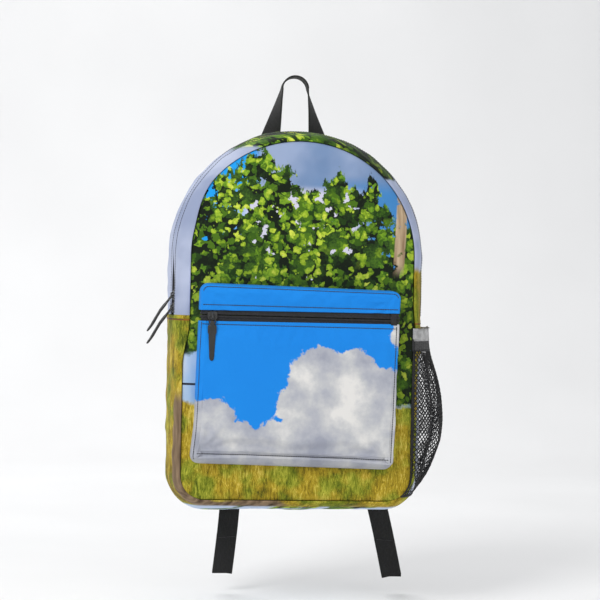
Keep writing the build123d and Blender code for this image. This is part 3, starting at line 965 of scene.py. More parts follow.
def make_pocket_print():
    """The front pocket's print: a deep blue sky over heaped white cloud."""
    shader = printed_cloth("printed_sky")
    x, _, z = shader.axes()
    plane = shader.vector(x, 0.0, z)
    inside = None
    for heap in CLOUD_HEAPS:
        here = circle_distance(shader, x, z, *heap)
        inside = here if inside is None else shader.node(
            "ShaderNodeMath", {0: inside, 1: here, 2: 0.006}, operation="SMOOTH_MAX"
        ).outputs[0]
    ragged = shader.noise(75, plane, detail=8, roughness=0.62, distortion=0.3)
    inside = shader.math("MULTIPLY_ADD", shader.math("SUBTRACT", ragged, 0.5), 0.026, inside)
    cloud = shader.step(inside, -0.0008, 0.0022)
    billow = shader.noise(24, plane, detail=9, roughness=0.58)
    depth = shader.step(inside, 0.0, 0.030)
    shade = shader.math("ADD", billow, shader.math("MULTIPLY", depth, 0.10))
    low = shader.step(z, -0.400, -0.462)
    shade = shader.math("SUBTRACT", shade, shader.math("MULTIPLY", low, 0.10))
    white = shader.ramp(
        shade,
        (0.36, (0.310, 0.325, 0.385)),
        (0.47, (0.400, 0.410, 0.455)),
        (0.57, (0.500, 0.505, 0.515)),
        (0.70, (0.690, 0.675, 0.650)),
    )
    tone = shader.noise(8, plane, detail=2)
    blue = shader.mix(tone, (0.004, 0.185, 0.640, 1), (0.010, 0.250, 0.740, 1))
    shader.color(shader.mix(cloud, blue, white))
    cloth_surface(shader)
    return shader.material


def make_black_cloth(name, pitch=0.7, level=0.016):
    """Plain black polyester: a visible weave, faint dust and a soft sheen."""
    shader = Shader(name, Sheen_Weight=0.06, Sheen_Roughness=0.5, Specular_IOR_Level=0.25)
    weave = shader.plain_weave(pitch)
    dust = shader.noise(160, detail=4)
    value = shader.math("MULTIPLY_ADD", weave, 0.15, dust)
    dark, light = (level * 0.7,) * 3, (level * 1.6,) * 3
    shader.color(shader.ramp(value, (0.3, dark), (0.75, light)))
    height = shader.math("MULTIPLY_ADD", weave, 0.8, shader.noise(60, detail=3))
    shader.bump(height, 0.5, 0.3)
    shader.set("Roughness", shader.math("MULTIPLY_ADD", dust, 0.15, 0.72))
    return shader.material


def make_webbing_material(name, level=0.012):
    """Ribbed webbing: cords along its length, crossed by the weft. Its UVs run along the strip."""
    shader = Shader(name, Sheen_Weight=0.05, Sheen_Roughness=0.4, Specular_IOR_Level=0.3)
    cloth = shader.node("ShaderNodeUVMap", uv_map="cloth").outputs[0]
    u, v, _ = shader.axes(cloth)
    cords = shader.math("SINE", shader.math("MULTIPLY", u, 2 * math.pi / (2.1 * MM)))
    picks = shader.math("SINE", shader.math("MULTIPLY", v, 2 * math.pi / (1.3 * MM)))
    checks = shader.math("MULTIPLY", cords, picks)
    fuzz = shader.noise(700, detail=3)
    value = shader.math("MULTIPLY_ADD", checks, 0.12, fuzz)
    shader.color(shader.ramp(value, (0.3, (level * 0.6,) * 3), (0.7, (level * 1.8,) * 3)))
    height = shader.math("MULTIPLY_ADD", cords, 0.6, shader.math("MULTIPLY", checks, 0.5))
    shader.bump(height, 0.6, 0.35)
    shader.set("Roughness", shader.math("MULTIPLY_ADD", fuzz, 0.2, 0.6))
    return shader.material


def make_tape_material():
    """Zip tape: fine herringbone in a dark grey."""
    shader = Shader("zip_tape_weave", Sheen_Weight=0.04, Specular_IOR_Level=0.3)
    x, y, z = shader.axes()
    along = shader.math("ADD", x, y)
    zigzag = shader.math("PINGPONG", shader.math("ADD", z, y), 1.6 * MM)
    turn = 2 * math.pi / (0.9 * MM)
    twill = shader.math("MULTIPLY", shader.math("ADD", along, zigzag), turn)
    twill = shader.math("SINE", twill)
    fuzz = shader.noise(500, detail=3)
    value = shader.math("MULTIPLY_ADD", twill, 0.12, fuzz)
    shader.color(shader.ramp(value, (0.3, (0.008, 0.008, 0.009)), (0.7, (0.022, 0.022, 0.024))))
    shader.bump(value, 0.5, 0.2)
    shader.set("Roughness", shader.math("MULTIPLY_ADD", fuzz, 0.2, 0.55))
    return shader.material


def make_moulded(name, level, roughness, grain=900, **values):
    """Moulded plastic, rubber or paint: a fine grain, and a little wear where it varies."""
    shader = Shader(name, **values)
    fine = shader.noise(grain, detail=4)
    broad = shader.noise(90, detail=3)
    shader.color(shader.ramp(broad, (0.3, (level * 0.8,) * 3), (0.75, (level * 1.4,) * 3)))
    shader.set("Roughness", shader.math("MULTIPLY_ADD", broad, 0.2, roughness - 0.1))
    shader.bump(fine, 0.25, 0.08)
    return shader.material


def make_thread(name, color):
    shader = Shader(name, Sheen_Weight=0.2, Specular_IOR_Level=0.4, Roughness=0.55)
    ply = shader.waves(900, shader.coordinates, "DIAGONAL", 1.0)
    dark = tuple(c * 0.55 for c in color)
    shader.color(shader.mix(ply, dark + (1,), tuple(color) + (1,)))
    shader.bump(ply, 0.5, 0.08)
    return shader.material


def make_backdrop_material():
    shader = Shader("backdrop_paint", Roughness=0.9, Specular_IOR_Level=0.2)
    mottle = shader.noise(3, detail=2)
    shader.color(shader.ramp(mottle, (0.3, (0.79, 0.79, 0.79)), (0.7, (0.82, 0.82, 0.82))))
    return shader.material


vineyard_print = make_vineyard_print()
gusset_print = make_gusset_print()
pocket_print = make_pocket_print()
black_cloth = make_black_cloth("black_polyester")
strap_cloth = make_black_cloth("black_strap_cloth", 0.8, 0.013)
binding_cloth = make_black_cloth("black_binding_cloth", 0.9, 0.018)
webbing_cloth = make_webbing_material("black_webbing_ribs", 0.009)
tape_cloth = make_tape_material()
hem_cloth = make_black_cloth("pale_hem_cloth", 0.6, 0.36)
elastic_cloth = make_webbing_material("dark_elastic_ribs", 0.045)
net_thread = make_moulded("black_net_thread", 0.012, 0.7)
slider_paint = make_moulded("black_slider_paint", 0.026, 0.34, Metallic=0.0, Specular_IOR_Level=0.6)
link_metal = make_moulded("dark_nickel", 0.055, 0.34, Metallic=1.0)
pull_rubber = make_moulded("black_pull_rubber", 0.014, 0.55)
lock_plastic = make_moulded("black_acetal", 0.016, 0.42)
dark_thread = make_thread("dark_thread", (0.020, 0.022, 0.030))
black_thread = make_thread("black_thread", (0.030, 0.030, 0.032))


# ---- soft cloth ----


def settle_cloth(piece, held, pressure=4.0, slack=0.01, limit=4.0, frames=20, stiffness=30.0):
    """Lets the cloth settle with air behind it; held is 1 where a seam keeps a vertex."""
    before = get_points(piece)
    group = piece.vertex_groups.new(name="held")
    for index, weight in enumerate(held):
        group.add([index], float(weight), "REPLACE")
    cloth = piece.modifiers.new("cloth", "CLOTH")
    settings = cloth.settings
    settings.vertex_group_mass = "held"
    settings.use_pressure = True
    settings.uniform_pressure_force = pressure
    settings.shrink_min = -slack
    settings.tension_stiffness = settings.compression_stiffness = stiffness
    settings.shear_stiffness = stiffness / 3
    settings.bending_stiffness = 0.4
    settings.effector_weights.gravity = 0
    settings.quality = 6
    cloth.point_cache.frame_start, cloth.point_cache.frame_end = 1, frames
    for frame_number in range(1, frames + 1):
        bpy.context.scene.frame_set(frame_number)
    apply_modifiers(piece)
    bpy.context.scene.frame_set(1)
    piece.vertex_groups.clear()
    move = get_points(piece) - before
    reach = np.linalg.norm(move, axis=1, keepdims=True)
    move *= np.minimum(1, limit / np.maximum(reach, 1e-9))
    set_points(piece, before + move)


def cut_piece(piece, name, low=None, high=None, fold=0.0):
    """A copy of the piece kept between two heights, with the cut edges turned in as a hem."""
    bm = bmesh.new()
    bm.from_mesh(piece.data)
    for height, up in ((low, -1), (high, 1)):
        if height is None:
            continue
        everything = bm.verts[:] + bm.edges[:] + bm.faces[:]
        bmesh.ops.bisect_plane(
            bm, geom=everything, plane_co=(0, 0, height * MM), plane_no=(0, 0, up), clear_outer=True
        )
        if not fold:
            continue
        bm.normal_update()
        near = [e for e in bm.edges if e.is_boundary]
        near = [e for e in near if all(abs(v.co.z / MM - height) < 0.01 for v in e.verts)]
        for depth, back in ((0.5, 0.25), (1.8, 0.1), (0.6, -2.0)):
            normals = {v: v.normal.copy() for e in near for v in e.verts}
            made = bmesh.ops.extrude_edge_only(bm, edges=near)["geom"]
            fresh = [v for v in made if isinstance(v, bmesh.types.BMVert)]
            old = list(normals)
            for vertex in fresh:
                source = min(old, key=lambda v: (v.co - vertex.co).length_squared)
                vertex.co -= normals[source] * depth * MM * fold
                vertex.co.z += up * back * MM * fold
            near = [e for e in made if isinstance(e, bmesh.types.BMEdge)]
            near = [e for e in near if e.is_boundary and all(v in fresh for v in e.verts)]
            for vertex in fresh:
                vertex.normal = normals[min(old, key=lambda v: (v.co - vertex.co).length_squared)]
    mesh = bpy.data.meshes.new(name)
    bm.to_mesh(mesh)
    bm.free()
    for material in piece.data.materials:
        mesh.materials.append(material)
    mesh.polygons.foreach_set("use_smooth", [True] * len(mesh.polygons))
    made = bpy.data.objects.new(name, mesh)
    bpy.context.collection.objects.link(made)
    return made


# ---- front pocket ----

POCKET_LOW, POCKET_HIGH = node_box("front_pocket_bag")
BAND_LOW, BAND_HIGH = node_box("front_pocket_band")
POCKET_HALF = POCKET_HIGH[0]
POCKET_TOP_Z = BAND_HIGH[2]
POCKET_BOTTOM_Z = POCKET_LOW[2]
POCKET_Y = POCKET_LOW[1]
POCKET_SLIT_LOW = POCKET_HIGH[2]
POCKET_SLIT_HIGH = BAND_LOW[2]
POCKET_ZIP_Z = (POCKET_SLIT_LOW + POCKET_SLIT_HIGH) / 2
TAPE_DEPTH = 2.0  # the zip's tape lies this far behind the pocket's face
ZIP_FALL = 0.008  # the pocket's zip falls by this share of its length towards the right
POCKET_RIM = Rim(POCKET_HALF, POCKET_BOTTOM_Z, POCKET_TOP_Z, 10, 10)
POCKET = Patch(POCKET_RIM, 72, 64)

# The wall's rings: how far drawn in, how much more at the bottom, how far behind the face,
# and how much further behind at the bottom, where the face is creased over its seam.
POCKET_RINGS = (
    (0.0, -1.0, 24.0, 0.0),
    (0.2, -0.6, 18.0, 0.0),
    (0.4, 1.5, 11.0, 0.0),
    (0.8, 4.6, 5.4, 0.0),
    (1.2, 6.2, 2.6, 0.2),
    (2.2, 7.2, 1.0, 1.0),
    (3.4, 8.0, 0.7, 4.2),
    (5.0, 8.2, 0.9, 1.6),
    (8.2, 9.4, 0.2, 0.0),
)


def pocket_skew(points):
    """The pocket hangs a little askew: it leans to the left lower down, and its edges droop."""
    points = np.array(points, float)
    x, z = points[:, 0].copy(), points[:, 2].copy()
    fall = (POCKET_TOP_Z - z) / (POCKET_TOP_Z - POCKET_BOTTOM_Z)
    left_low = smooth_step(-40, -116, x) * smooth_step(0.75, 1.0, fall)
    points[:, 0] -= 5.0 * fall + 3.0 * left_low
    away = smooth_step(8, 40, np.abs(z - POCKET_ZIP_Z))
    points[:, 2] -= x * (ZIP_FALL + 0.016 * away)
    return points


def pocket_bottom_share(place):
    _, normal = POCKET_RIM.at(place)
    return max(0.0, -normal[1]) ** 1.5


POCKET_CREASES = (
    (-POCKET_HALF + 12, POCKET_TOP_Z - 12),
    (POCKET_HALF - 12, POCKET_TOP_Z - 14),
    (-POCKET_HALF + 12, POCKET_BOTTOM_Z + 20),
    (POCKET_HALF - 12, POCKET_BOTTOM_Z + 20),
)


def corner_creases(flat, corner):
    """Soft creases that fan out of a corner and die away."""
    offset = flat - corner
    distance = np.hypot(offset[:, 0], offset[:, 1])
    angle = np.arctan2(offset[:, 1], offset[:, 0])
    fan = np.sin(angle * 9 + 2.2 * value_noise(flat, 20, 12))
    return 3.6 * np.maximum(fan, -0.4) * np.exp(-distance / 17) * smooth_step(2, 12, distance)


def make_pocket_shell(material):
    """The pocket's cloth in one piece: its walls, the rolled edge and the slack, puffed face."""
    points, faces = [], []
    count = len(POCKET.places)
    last_inset = None
    for inset, more, behind, crease in POCKET_RINGS:

        def drawn_in(place, inset=inset, more=more):
            return inset + more * pocket_bottom_share(place)

        def depth(place, behind=behind, crease=crease):
            return POCKET_Y + behind + crease * pocket_bottom_share(place)

        last_inset = drawn_in
        points.append(POCKET.ring(drawn_in, depth))
    rings = len(points)
    grid, edge = POCKET.fill(last_inset)
    flat = grid.reshape(-1, 2)
    face = np.stack([flat[:, 0], np.full(len(flat), POCKET_Y + 0.2), flat[:, 1]], axis=1)
    inside = np.minimum(
        POCKET_HALF - 8.2 - np.abs(flat[:, 0]),
        np.minimum(POCKET_TOP_Z - 8.2 - flat[:, 1], flat[:, 1] - POCKET_BOTTOM_Z - 18.8),
    )
    inside = np.clip(inside, 0, None)
    by_zip = np.abs(flat[:, 1] - POCKET_ZIP_Z)
    slack = smooth_step(0, 26, inside) * smooth_step(7, 34, by_zip)
    face[:, 1] -= 1.2 * slack * (0.6 + 0.4 * value_noise(flat, 60, 15))
    for corner in POCKET_CREASES:
        face[:, 1] -= corner_creases(flat, corner) * smooth_step(0, 5, inside)
    pucker = value_noise(flat, 12, 35) * np.exp(-inside / 9) * smooth_step(0, 2, inside)
    face[:, 1] -= 0.9 * pucker + 0.9 * (wrinkles(flat * (0.6, 1.3), 44, 61) - 0.3) * slack
    base = (rings - 1) * count
    everything = np.vstack(points[:-1] + [face])
    ring_index = [list(range(k * count, (k + 1) * count)) for k in range(rings - 1)]
    ring_index.append([base + e for e in edge])
    for lower, upper in zip(ring_index, ring_index[1:]):
        for j in range(count):
            k = (j + 1) % count
            faces.append((lower[j], lower[k], upper[k], upper[j]))
    faces += grid_faces(POCKET.rows + 1, POCKET.columns + 1, offset=base)
    walls = np.vstack(points[1:-1])
    on_side = np.sign(walls[:, 0]) * (np.abs(walls[:, 0]) > 100)
    everything[count:base, 0] += on_side * 0.5 * value_noise(walls, 26, 71)
    everything = pocket_skew(everything)
    shell = make_object("pocket_shell", everything, faces, material)
    held = np.zeros(len(everything))
    held[: 3 * count] = 1
    held = np.maximum(held, smooth_step(12, 8, np.abs(everything[:, 2] - POCKET_ZIP_Z)))
    settle_cloth(shell, held, pressure=1.2, slack=0.006, limit=2.2)
    return shell


def make_front_pocket(material):
    shell = make_pocket_shell(material)
    band = cut_piece(shell, "pocket_band_cloth", low=POCKET_SLIT_HIGH - 0.6, fold=1.0)
    bag = cut_piece(shell, "pocket_bag_cloth", high=POCKET_SLIT_LOW + 0.6, fold=1.0)
    bpy.data.objects.remove(shell)
    for piece, node, width in ((band, "front_pocket_band", 54), (bag, "front_pocket_bag", 192)):
        add_thickness(piece, 1.0, subdivide=1)
        finish_piece(piece, "bag", [node])
    return band, bag


# ---- zips ----

COIL_PITCH, COIL_STEPS = 1.35, 6
# One half of a zip: distance from its middle and height over the tape's outer face.
ZIP_SECTION = (
    (0.35, 0.55),
    (0.5, 1.0),
    (0.9, 1.35),
    (1.6, 1.45),
    (2.4, 1.25),
    (3.1, 0.6),
    (3.6, 0.12),
    (4.4, 0.0),
    (9.0, 0.0),
    (9.5, 0.0),
)
TAPE_THICKNESS = 0.7
ZIP_STEP = 0.45


def tape_half(name, spine, outward, across):
    """Half a zip's woven tape along a spine, ridged over the coil that is sewn behind it."""
    points, uv = [], []
    for at, out, away, s in zip(spine, outward, across, distances_along(spine)):
        rib = 0.5 + 0.5 * math.cos(2 * math.pi * s / COIL_PITCH)
        for distance, height in ZIP_SECTION:
            lift = 0.22 * rib * (height > 0.3)
            points.append(at + away * distance + out * (height - lift))
            uv.append((distance * MM, s * MM))
        for distance, height in ZIP_SECTION[::-1]:
            points.append(at + away * distance + out * (height - TAPE_THICKNESS))
            uv.append((distance * MM, s * MM))
    around = 2 * len(ZIP_SECTION)
    faces = grid_faces(len(spine), around, closed=True) + end_caps(len(spine), around)
    return make_object(name, points, faces, tape_cloth, uv=uv)


def coil_thread(spine, outward, across):
    """The nylon coil sewn behind one half of the tape, as a path."""
    travelled = distances_along(spine)
    count = int(travelled[-1] / COIL_PITCH) * COIL_STEPS
    path = []
    for number, s in enumerate(np.linspace(0, travelled[-1], count)):
        turn = 2 * math.pi * number / COIL_STEPS
        at, out, away = (
            np.array([np.interp(s, travelled, data[:, k]) for k in range(3)])
            for data in (spine, outward, across)
        )
        sideways, behind = 2.0 + 1.1 * math.cos(turn), -0.55 + 0.35 * math.sin(turn)
        path.append(at + away * sideways + out * behind)
    return path


def make_zip_half(name, spine, outward, across, nodes):
    """The tape and the coil of one half of a zip."""
    finish_piece(tape_half(name, spine, outward, across), "bag", nodes)
    coil = tube_mesh(name + "_coil", [coil_thread(spine, outward, across)], 0.32, black_thread, 4)
    finish_piece(coil, "bag")


def pocket_zip_path():
    """The zip's spine round the pocket: back from the panel, across the face and back again."""
    half, radius = POCKET_HALF - 2.2, 7.0
    front, back = POCKET_Y + TAPE_DEPTH, POCKET_Y + 24
    spine, outward = [], []

    def add(x, y, nx, ny):
        spine.append((x, y, POCKET_ZIP_Z))
        outward.append((nx, ny, 0.0))

    for y in np.arange(back, front + radius, -ZIP_STEP):
        add(-half, y, -1, 0)
    for angle in np.arange(0, 90, 3.5):
        c, s = math.cos(math.radians(angle)), math.sin(math.radians(angle))
        add(-half + radius - radius * c, front + radius - radius * s, -c, -s)
    for x in np.arange(-half + radius, half - radius, ZIP_STEP):
        add(x, front, 0, -1)
    for angle in np.arange(0, 90, 3.5):
        c, s = math.cos(math.radians(angle)), math.sin(math.radians(angle))
        add(half - radius + radius * s, front + radius - radius * c, s, -c)
    for y in np.arange(front + radius, back, ZIP_STEP):
        add(half, y, 1, 0)
    return np.array(spine), np.array(outward)


def make_pocket_zip():
    spine, outward = pocket_zip_path()
    spine[:, 2] -= ZIP_FALL * spine[:, 0]
    for side, node in ((1, "front_zip_stringer_upper"), (-1, "front_zip_stringer_lower")):
        across = np.tile((0, 0, float(side)), (len(spine), 1))
        name = "pocket_zip_tape_" + ("upper" if side > 0 else "lower")
        nodes = [node, "front_zip_end_left" if side > 0 else "front_zip_end_right"]
        make_zip_half(name, spine, outward, across, nodes)
    # The end of the zip is covered by a folded tab.
    right = POCKET_HALF - 2.0
    stations = []
    for x, y in ((right - 10.4, -0.4), (right - 9.6, -1.0), (right - 6, -1.1), (right - 3.5, -0.9)):
        stations.append(((x, POCKET_Y + 1.5 + y, POCKET_ZIP_Z - ZIP_FALL * x), (0, 0, 1), 13.2))
    tab = strip_mesh("pocket_zip_end_tab", stations, 1.0, tape_cloth, columns=10)
    finish_piece(tab, "bag")


# How much the gusset's face turns to the front where the main zip lies.
ZIP_LEAN = math.asin(0.2137)
ZIP_IN, ZIP_OUT = -math.sin(ZIP_LEAN), math.cos(ZIP_LEAN)
MAIN_TAPE_INSET = HALF_WIDTH + node_box("main_zip_stringer_back")[0][0] + 1.4


def main_zip_path():
    """The main zip's spine along the gusset, from the left end over the top to the right end."""
    spine, outward = [], []
    for place in np.arange(BODY_RIM.total - BASE_TOP_PLACE, BASE_TOP_PLACE, -ZIP_STEP):
        (x, z), normal = BODY_RIM.at(place, MAIN_TAPE_INSET)
        spine.append((x, FRONT_Y + MAIN_ZIP_BACK, z))
        outward.append((normal[0] * ZIP_OUT, ZIP_IN, normal[1] * ZIP_OUT))
    return np.array(spine), np.array(outward)


def make_main_zip():
    spine, outward = main_zip_path()
    along = np.gradient(spine, axis=0)
    along /= np.linalg.norm(along, axis=1, keepdims=True)
    toward_back = np.cross(outward, along)
    toward_back *= np.sign(toward_back[:, 1:2])
    for side, node in ((-1, "main_zip_stringer_front"), (1, "main_zip_stringer_back")):
        name = "main_zip_tape_" + ("front" if side < 0 else "back")
        make_zip_half(name, spine, outward, toward_back * side, [node])


# ---- sliders and pulls ----


class Place:
    """A small part's own axes: X, Y and Z out of the bag, in millimetres."""

    def __init__(self, origin, x_axis, z_axis):
        self.origin = np.array(origin, float)
        x, z = np.array(x_axis, float), np.array(z_axis, float)
        self.axes = np.array([x, np.cross(z, x), z])

    def out(self, points):
        return np.asarray(points, float) @ self.axes + self.origin

    def moved(self, offset):
        return Place(self.out([offset])[0], self.axes[0], self.axes[2])

    def turned(self, axis, degrees):
        turn = np.array(Matrix.Rotation(math.radians(degrees), 3, axis)).T
        axes = turn @ self.axes
        return Place(self.origin, axes[0], axes[2])


def prism(outline, low, high, upright="Z"):
    """An outline's points made into a block between two heights, as points and faces."""
    count = len(outline)
    points = []
    for height in (low, high):
        for a, b in outline:
            points.append((a, b, height) if upright == "Z" else (a, height, b))
    faces = [(i, (i + 1) % count, count + (i + 1) % count, count + i) for i in range(count)]
    faces.append(tuple(range(count))[::-1])
    faces.append(tuple(range(count, 2 * count)))
    if upright != "Z":
        faces = [face[::-1] for face in faces]
    return points, faces


def moulded_piece(name, place, blocks, material, bevel):
    """Blocks placed together and given rounded edges."""
    points, faces = [], []
    for block_points, block_faces in blocks:
        faces += [tuple(index + len(points) for index in face) for face in block_faces]
        points += block_points
    piece = make_object(name, place.out(points), faces, material)
    rounding = piece.modifiers.new("rounding", "BEVEL")
    rounding.width = bevel * MM
    rounding.segments = 3
    rounding.limit_method = "ANGLE"
    rounding.angle_limit = math.radians(25)
    apply_modifiers(piece)
    return piece


def rounded_outline(corners, radius, steps=4):
    """A closed outline through the corners, each corner rounded."""
    corners = np.array(corners, float)
    points = []
    for index, corner in enumerate(corners):
        before, after = corners[index - 1] - corner, corners[(index + 1) % len(corners)] - corner
        reach = min(radius, np.linalg.norm(before) * 0.45, np.linalg.norm(after) * 0.45)
        start = corner + before / np.linalg.norm(before) * reach
        end = corner + after / np.linalg.norm(after) * reach
        for t in np.linspace(0, 1, steps + 1):
            points.append(tuple((1 - t) ** 2 * start + 2 * t * (1 - t) * corner + t * t * end))
    return points


PLATE_LOW, PLATE_HIGH = 2.0, 3.2
BAIL_TOP = PLATE_HIGH + 3.4
HINGE_HEIGHT = 4.35
LINK_LENGTH, LINK_HALF, LINK_WIRE = 9.0, 3.5, 0.7
TAB_LENGTH = 46.0
MAIN_SLIDER_X = -142.84


def make_slider(name, place, node, bail_across):
    half_plan = [(-5.5, -3.4), (-1.0, -4.8), (3.6, -4.8), (5.5, -3.2)]
    plan = rounded_outline(half_plan + [(a, -b) for a, b in half_plan[::-1]], 1.6)
    rail = rounded_outline([(-3.4, 4.1), (3.2, 4.1), (3.2, 4.8), (-3.4, 4.8)], 0.3, 2)
    other_rail = [(a, -b) for a, b in rail[::-1]]
    arch = [(-3.6, PLATE_HIGH - 0.3), (-3.5, BAIL_TOP - 1.4), (-2.4, BAIL_TOP - 0.2), (0, BAIL_TOP)]
    arch += [(-a, b) for a, b in arch[-2::-1]]
    inner = [(2.4, PLATE_HIGH - 0.3), (2.3, BAIL_TOP - 2.0), (1.5, BAIL_TOP - 1.25), (0, BAIL_TOP - 1.1)]
    inner += [(-a, b) for a, b in inner[-2::-1]]
    bail = prism(arch + inner, -1.0, 1.0, upright="Y")
    if bail_across:
        bail = ([(-y, x, z) for x, y, z in bail[0]], bail[1])
    blocks = [
        prism(plan, PLATE_LOW, PLATE_HIGH),
        prism(plan, -2.8, -1.6),
        prism(rail, 0.4, PLATE_LOW + 0.2),
        prism(other_rail, 0.4, PLATE_LOW + 0.2),
        bail,
    ]
    piece = moulded_piece(name + "_cast", place, blocks, slider_paint, bevel=0.22)
    return finish_piece(piece, name, [node])


def make_pull(name, hinge, droop=0.0):
    """The wire link and the moulded pull that hangs from it, bent down a little by droop."""
    half, length, corner = LINK_HALF, LINK_LENGTH, 1.6
    loop = rounded_outline([(-half, 0), (half, 0), (half, -length), (-half, -length)], corner, 5)
    middle = np.array(loop)
    middle = np.vstack([middle, middle[:2]])
    path = hinge.out(np.column_stack([middle, np.zeros(len(middle))]))
    link = tube_mesh(name + "_wire", [path], LINK_WIRE, link_metal, 10)
    finish_piece(link, name, [name + "_link"])

    top = 3.4 - length
    low = top - TAB_LENGTH
    half_outline = [
        (2.4, top),
        (2.45, top - 4.8),
        (4.7, top - 5.4),
        (5.1, top - 7.0),
        (5.1, top - 14.0),
        (4.1, top - 15.4),
        (2.9, low + 6),
        (2.5, low + 2),
        (1.2, low),
    ]
    outline = rounded_outline([(-x, y) for x, y in half_outline] + half_outline[::-1], 1.2, 5)
    # Rings from the middle of one face, round the edge, to the middle of the other.
    rings = [(0.45, 1.12), (0.72, 1.12), (0.86, 1.0), (0.96, 0.72), (1.0, 0.3)]
    rings += [(share, -height) for share, height in rings[::-1]]
    centre_y = (top + low) / 2
    points = []
    for share, height in rings:
        for x, y in outline:
            squeeze = 1 - (1 - share) * 3.0 / max(3.0, abs(y - centre_y) / 4)
            bend = droop * smooth_step(top - 6, low, y) ** 1.5
            ribbed = low + 6 < y < low + 22 and share < 0.9
            grip = 0.22 * max(0.0, math.sin((y - low) * 2.2)) if ribbed else 0
            shown = height - math.copysign(grip, height)
            points.append((x * share, centre_y + (y - centre_y) * squeeze, shown + bend))
    faces = grid_faces(len(rings), len(outline), closed=True) + end_caps(len(rings), len(outline))
    pull = make_object(name + "_moulding", hinge.out(points), faces, pull_rubber)
    finish_piece(pull, name, [name + "_tab"])


def make_sliders():
    slider_low, slider_high = node_box("front_slider")
    middle_x = (slider_low[0] + slider_high[0]) / 2
    front = Place((middle_x, POCKET_Y + TAPE_DEPTH, POCKET_ZIP_Z), (1, 0, 0), (0, -1, 0))
    make_slider("front_slider", front, "front_slider", True)
    make_pull("front_pull", front.moved((0, 0, HINGE_HEIGHT)))
    for name in ("upper", "lower"):
        low, high = node_box(name + "_slider")
        origin = (MAIN_SLIDER_X, FRONT_Y + MAIN_ZIP_BACK, (low[2] + high[2]) / 2)
        side = Place(origin, (0, 0, 1), (-ZIP_OUT, ZIP_IN, 0))
        make_slider(name + "_slider", side, name + "_slider", False)
        hinge = side.moved((0, 0, HINGE_HEIGHT)).turned("Y", 38).turned("Z", -90)
        make_pull(name + "_pull", hinge, droop=-3.0)


# ---- mesh side pocket ----

# Height, how far out the pocket stands, and where its seams lie under the gusset's face.
MESH_STATIONS = (
    (-302.0, 160.5, 131.5),
    (-331.0, 163.0, 131.5),
    (-360.0, 173.0, 131.5),
    (-385.0, 178.5, 131.5),
    (-413.0, 181.0, 131.5),
    (-440.0, 179.0, 131.5),
    (-462.0, 170.0, 131.0),
    (-480.0, 161.0, 129.0),
    (-500.0, 146.0, 120.0),
    (-511.0, 134.0, 108.0),
)
MESH_FRONT_Y, MESH_BACK_Y = -119.0, 0.0
HEM_LOW_Z, ELASTIC_LOW_Z, NET_LOW_Z = -318.0, -329.0, -500.0


def smoothed_stations(blur=9.0):
    """The outline's table drawn as smooth curves: heights, reaches and seams."""
    heights = np.arange(-560.0, -250.0, 1.0)
    kernel = np.exp(-((np.arange(-30, 31) / blur) ** 2))
    kernel /= kernel.sum()
    table = np.array(MESH_STATIONS[::-1])
    curves = []
    for column in (1, 2):
        straight = np.interp(heights, table[:, 0], table[:, column])
        curves.append(np.convolve(np.pad(straight, 30, mode="edge"), kernel, mode="valid"))
    return heights, curves[0], curves[1]


MESH_HEIGHTS, MESH_REACH, MESH_SEAM = smoothed_stations()


def section_height(share):
    """The pocket's section: steep walls at its seams and a broad top, from 0 to 1."""
    return math.sin(math.pi * min(max(share, 0.0), 1.0)) ** 0.42


def even_shares(rise=40.0, count=3000):
    """Shares of the depth that lie evenly along the section, for spacing the net's threads."""
    shares = 0.5 - 0.5 * np.cos(np.linspace(0, math.pi, count))
    heights = rise * np.array([section_height(share) for share in shares])
    depths = shares * (MESH_BACK_Y - MESH_FRONT_Y)
    lengths = np.concatenate([[0], np.cumsum(np.hypot(np.diff(depths), np.diff(heights)))])
    return lengths, shares


MESH_LENGTHS, MESH_SHARES = even_shares()


def side_wall(y, z):
    """How far out the gusset's side stands at a depth and a height."""
    radius = CORNER_RADIUS - gusset_inset(y - FRONT_Y)
    below = max(0.0, BOTTOM_Z + CORNER_RADIUS - z)
    return HALF_WIDTH - CORNER_RADIUS + math.sqrt(max(0.0, radius * radius - below * below))


def mesh_point(along, z, outset=0.0):
    """A point on the pocket's surface; along runs from 0 at the front seam to 1 at the back one."""
    share = float(np.interp(along * MESH_LENGTHS[-1], MESH_LENGTHS, MESH_SHARES))
    out = float(np.interp(z, MESH_HEIGHTS, MESH_REACH))
    seam = float(np.interp(z, MESH_HEIGHTS, MESH_SEAM))
    y = MESH_FRONT_Y + (MESH_BACK_Y - MESH_FRONT_Y) * share
    low = float(smooth_step(ELASTIC_LOW_Z, ELASTIC_LOW_Z - 50, z))
    low *= float(smooth_step(NET_LOW_Z, NET_LOW_Z + 40, z))
    valley = math.exp(-(((along - 0.235) / 0.045) ** 2))
    valley += 0.5 * math.exp(-(((along - 0.62) / 0.07) ** 2))
    ripple = 0.8 * math.sin(along * 31 + z * 0.045) * low
    x = seam + (out - seam) * section_height(share) + outset - 6.5 * valley * low + ripple
    return (max(x, side_wall(y, z) + 1.0 + outset), y, z)


def mesh_band(name, heights, outset, material, thickness, gather=0.0, folds=30):
    """A band of the pocket's top, such as its hem, gathered by the elastic."""
    shares = np.linspace(0.004, 0.97, 15 * folds // 2)
    points, uv = [], []
    for z in heights:
        for share in shares:
            wave = gather * math.sin(2 * math.pi * folds * share)
            points.append(mesh_point(share, z, outset + wave))
            uv.append((z * MM, share * 0.13))
    faces = grid_faces(len(heights), len(shares), flip=True)
    band = make_object(name, points, faces, material, uv=uv)
    add_thickness(band, thickness)
    return band


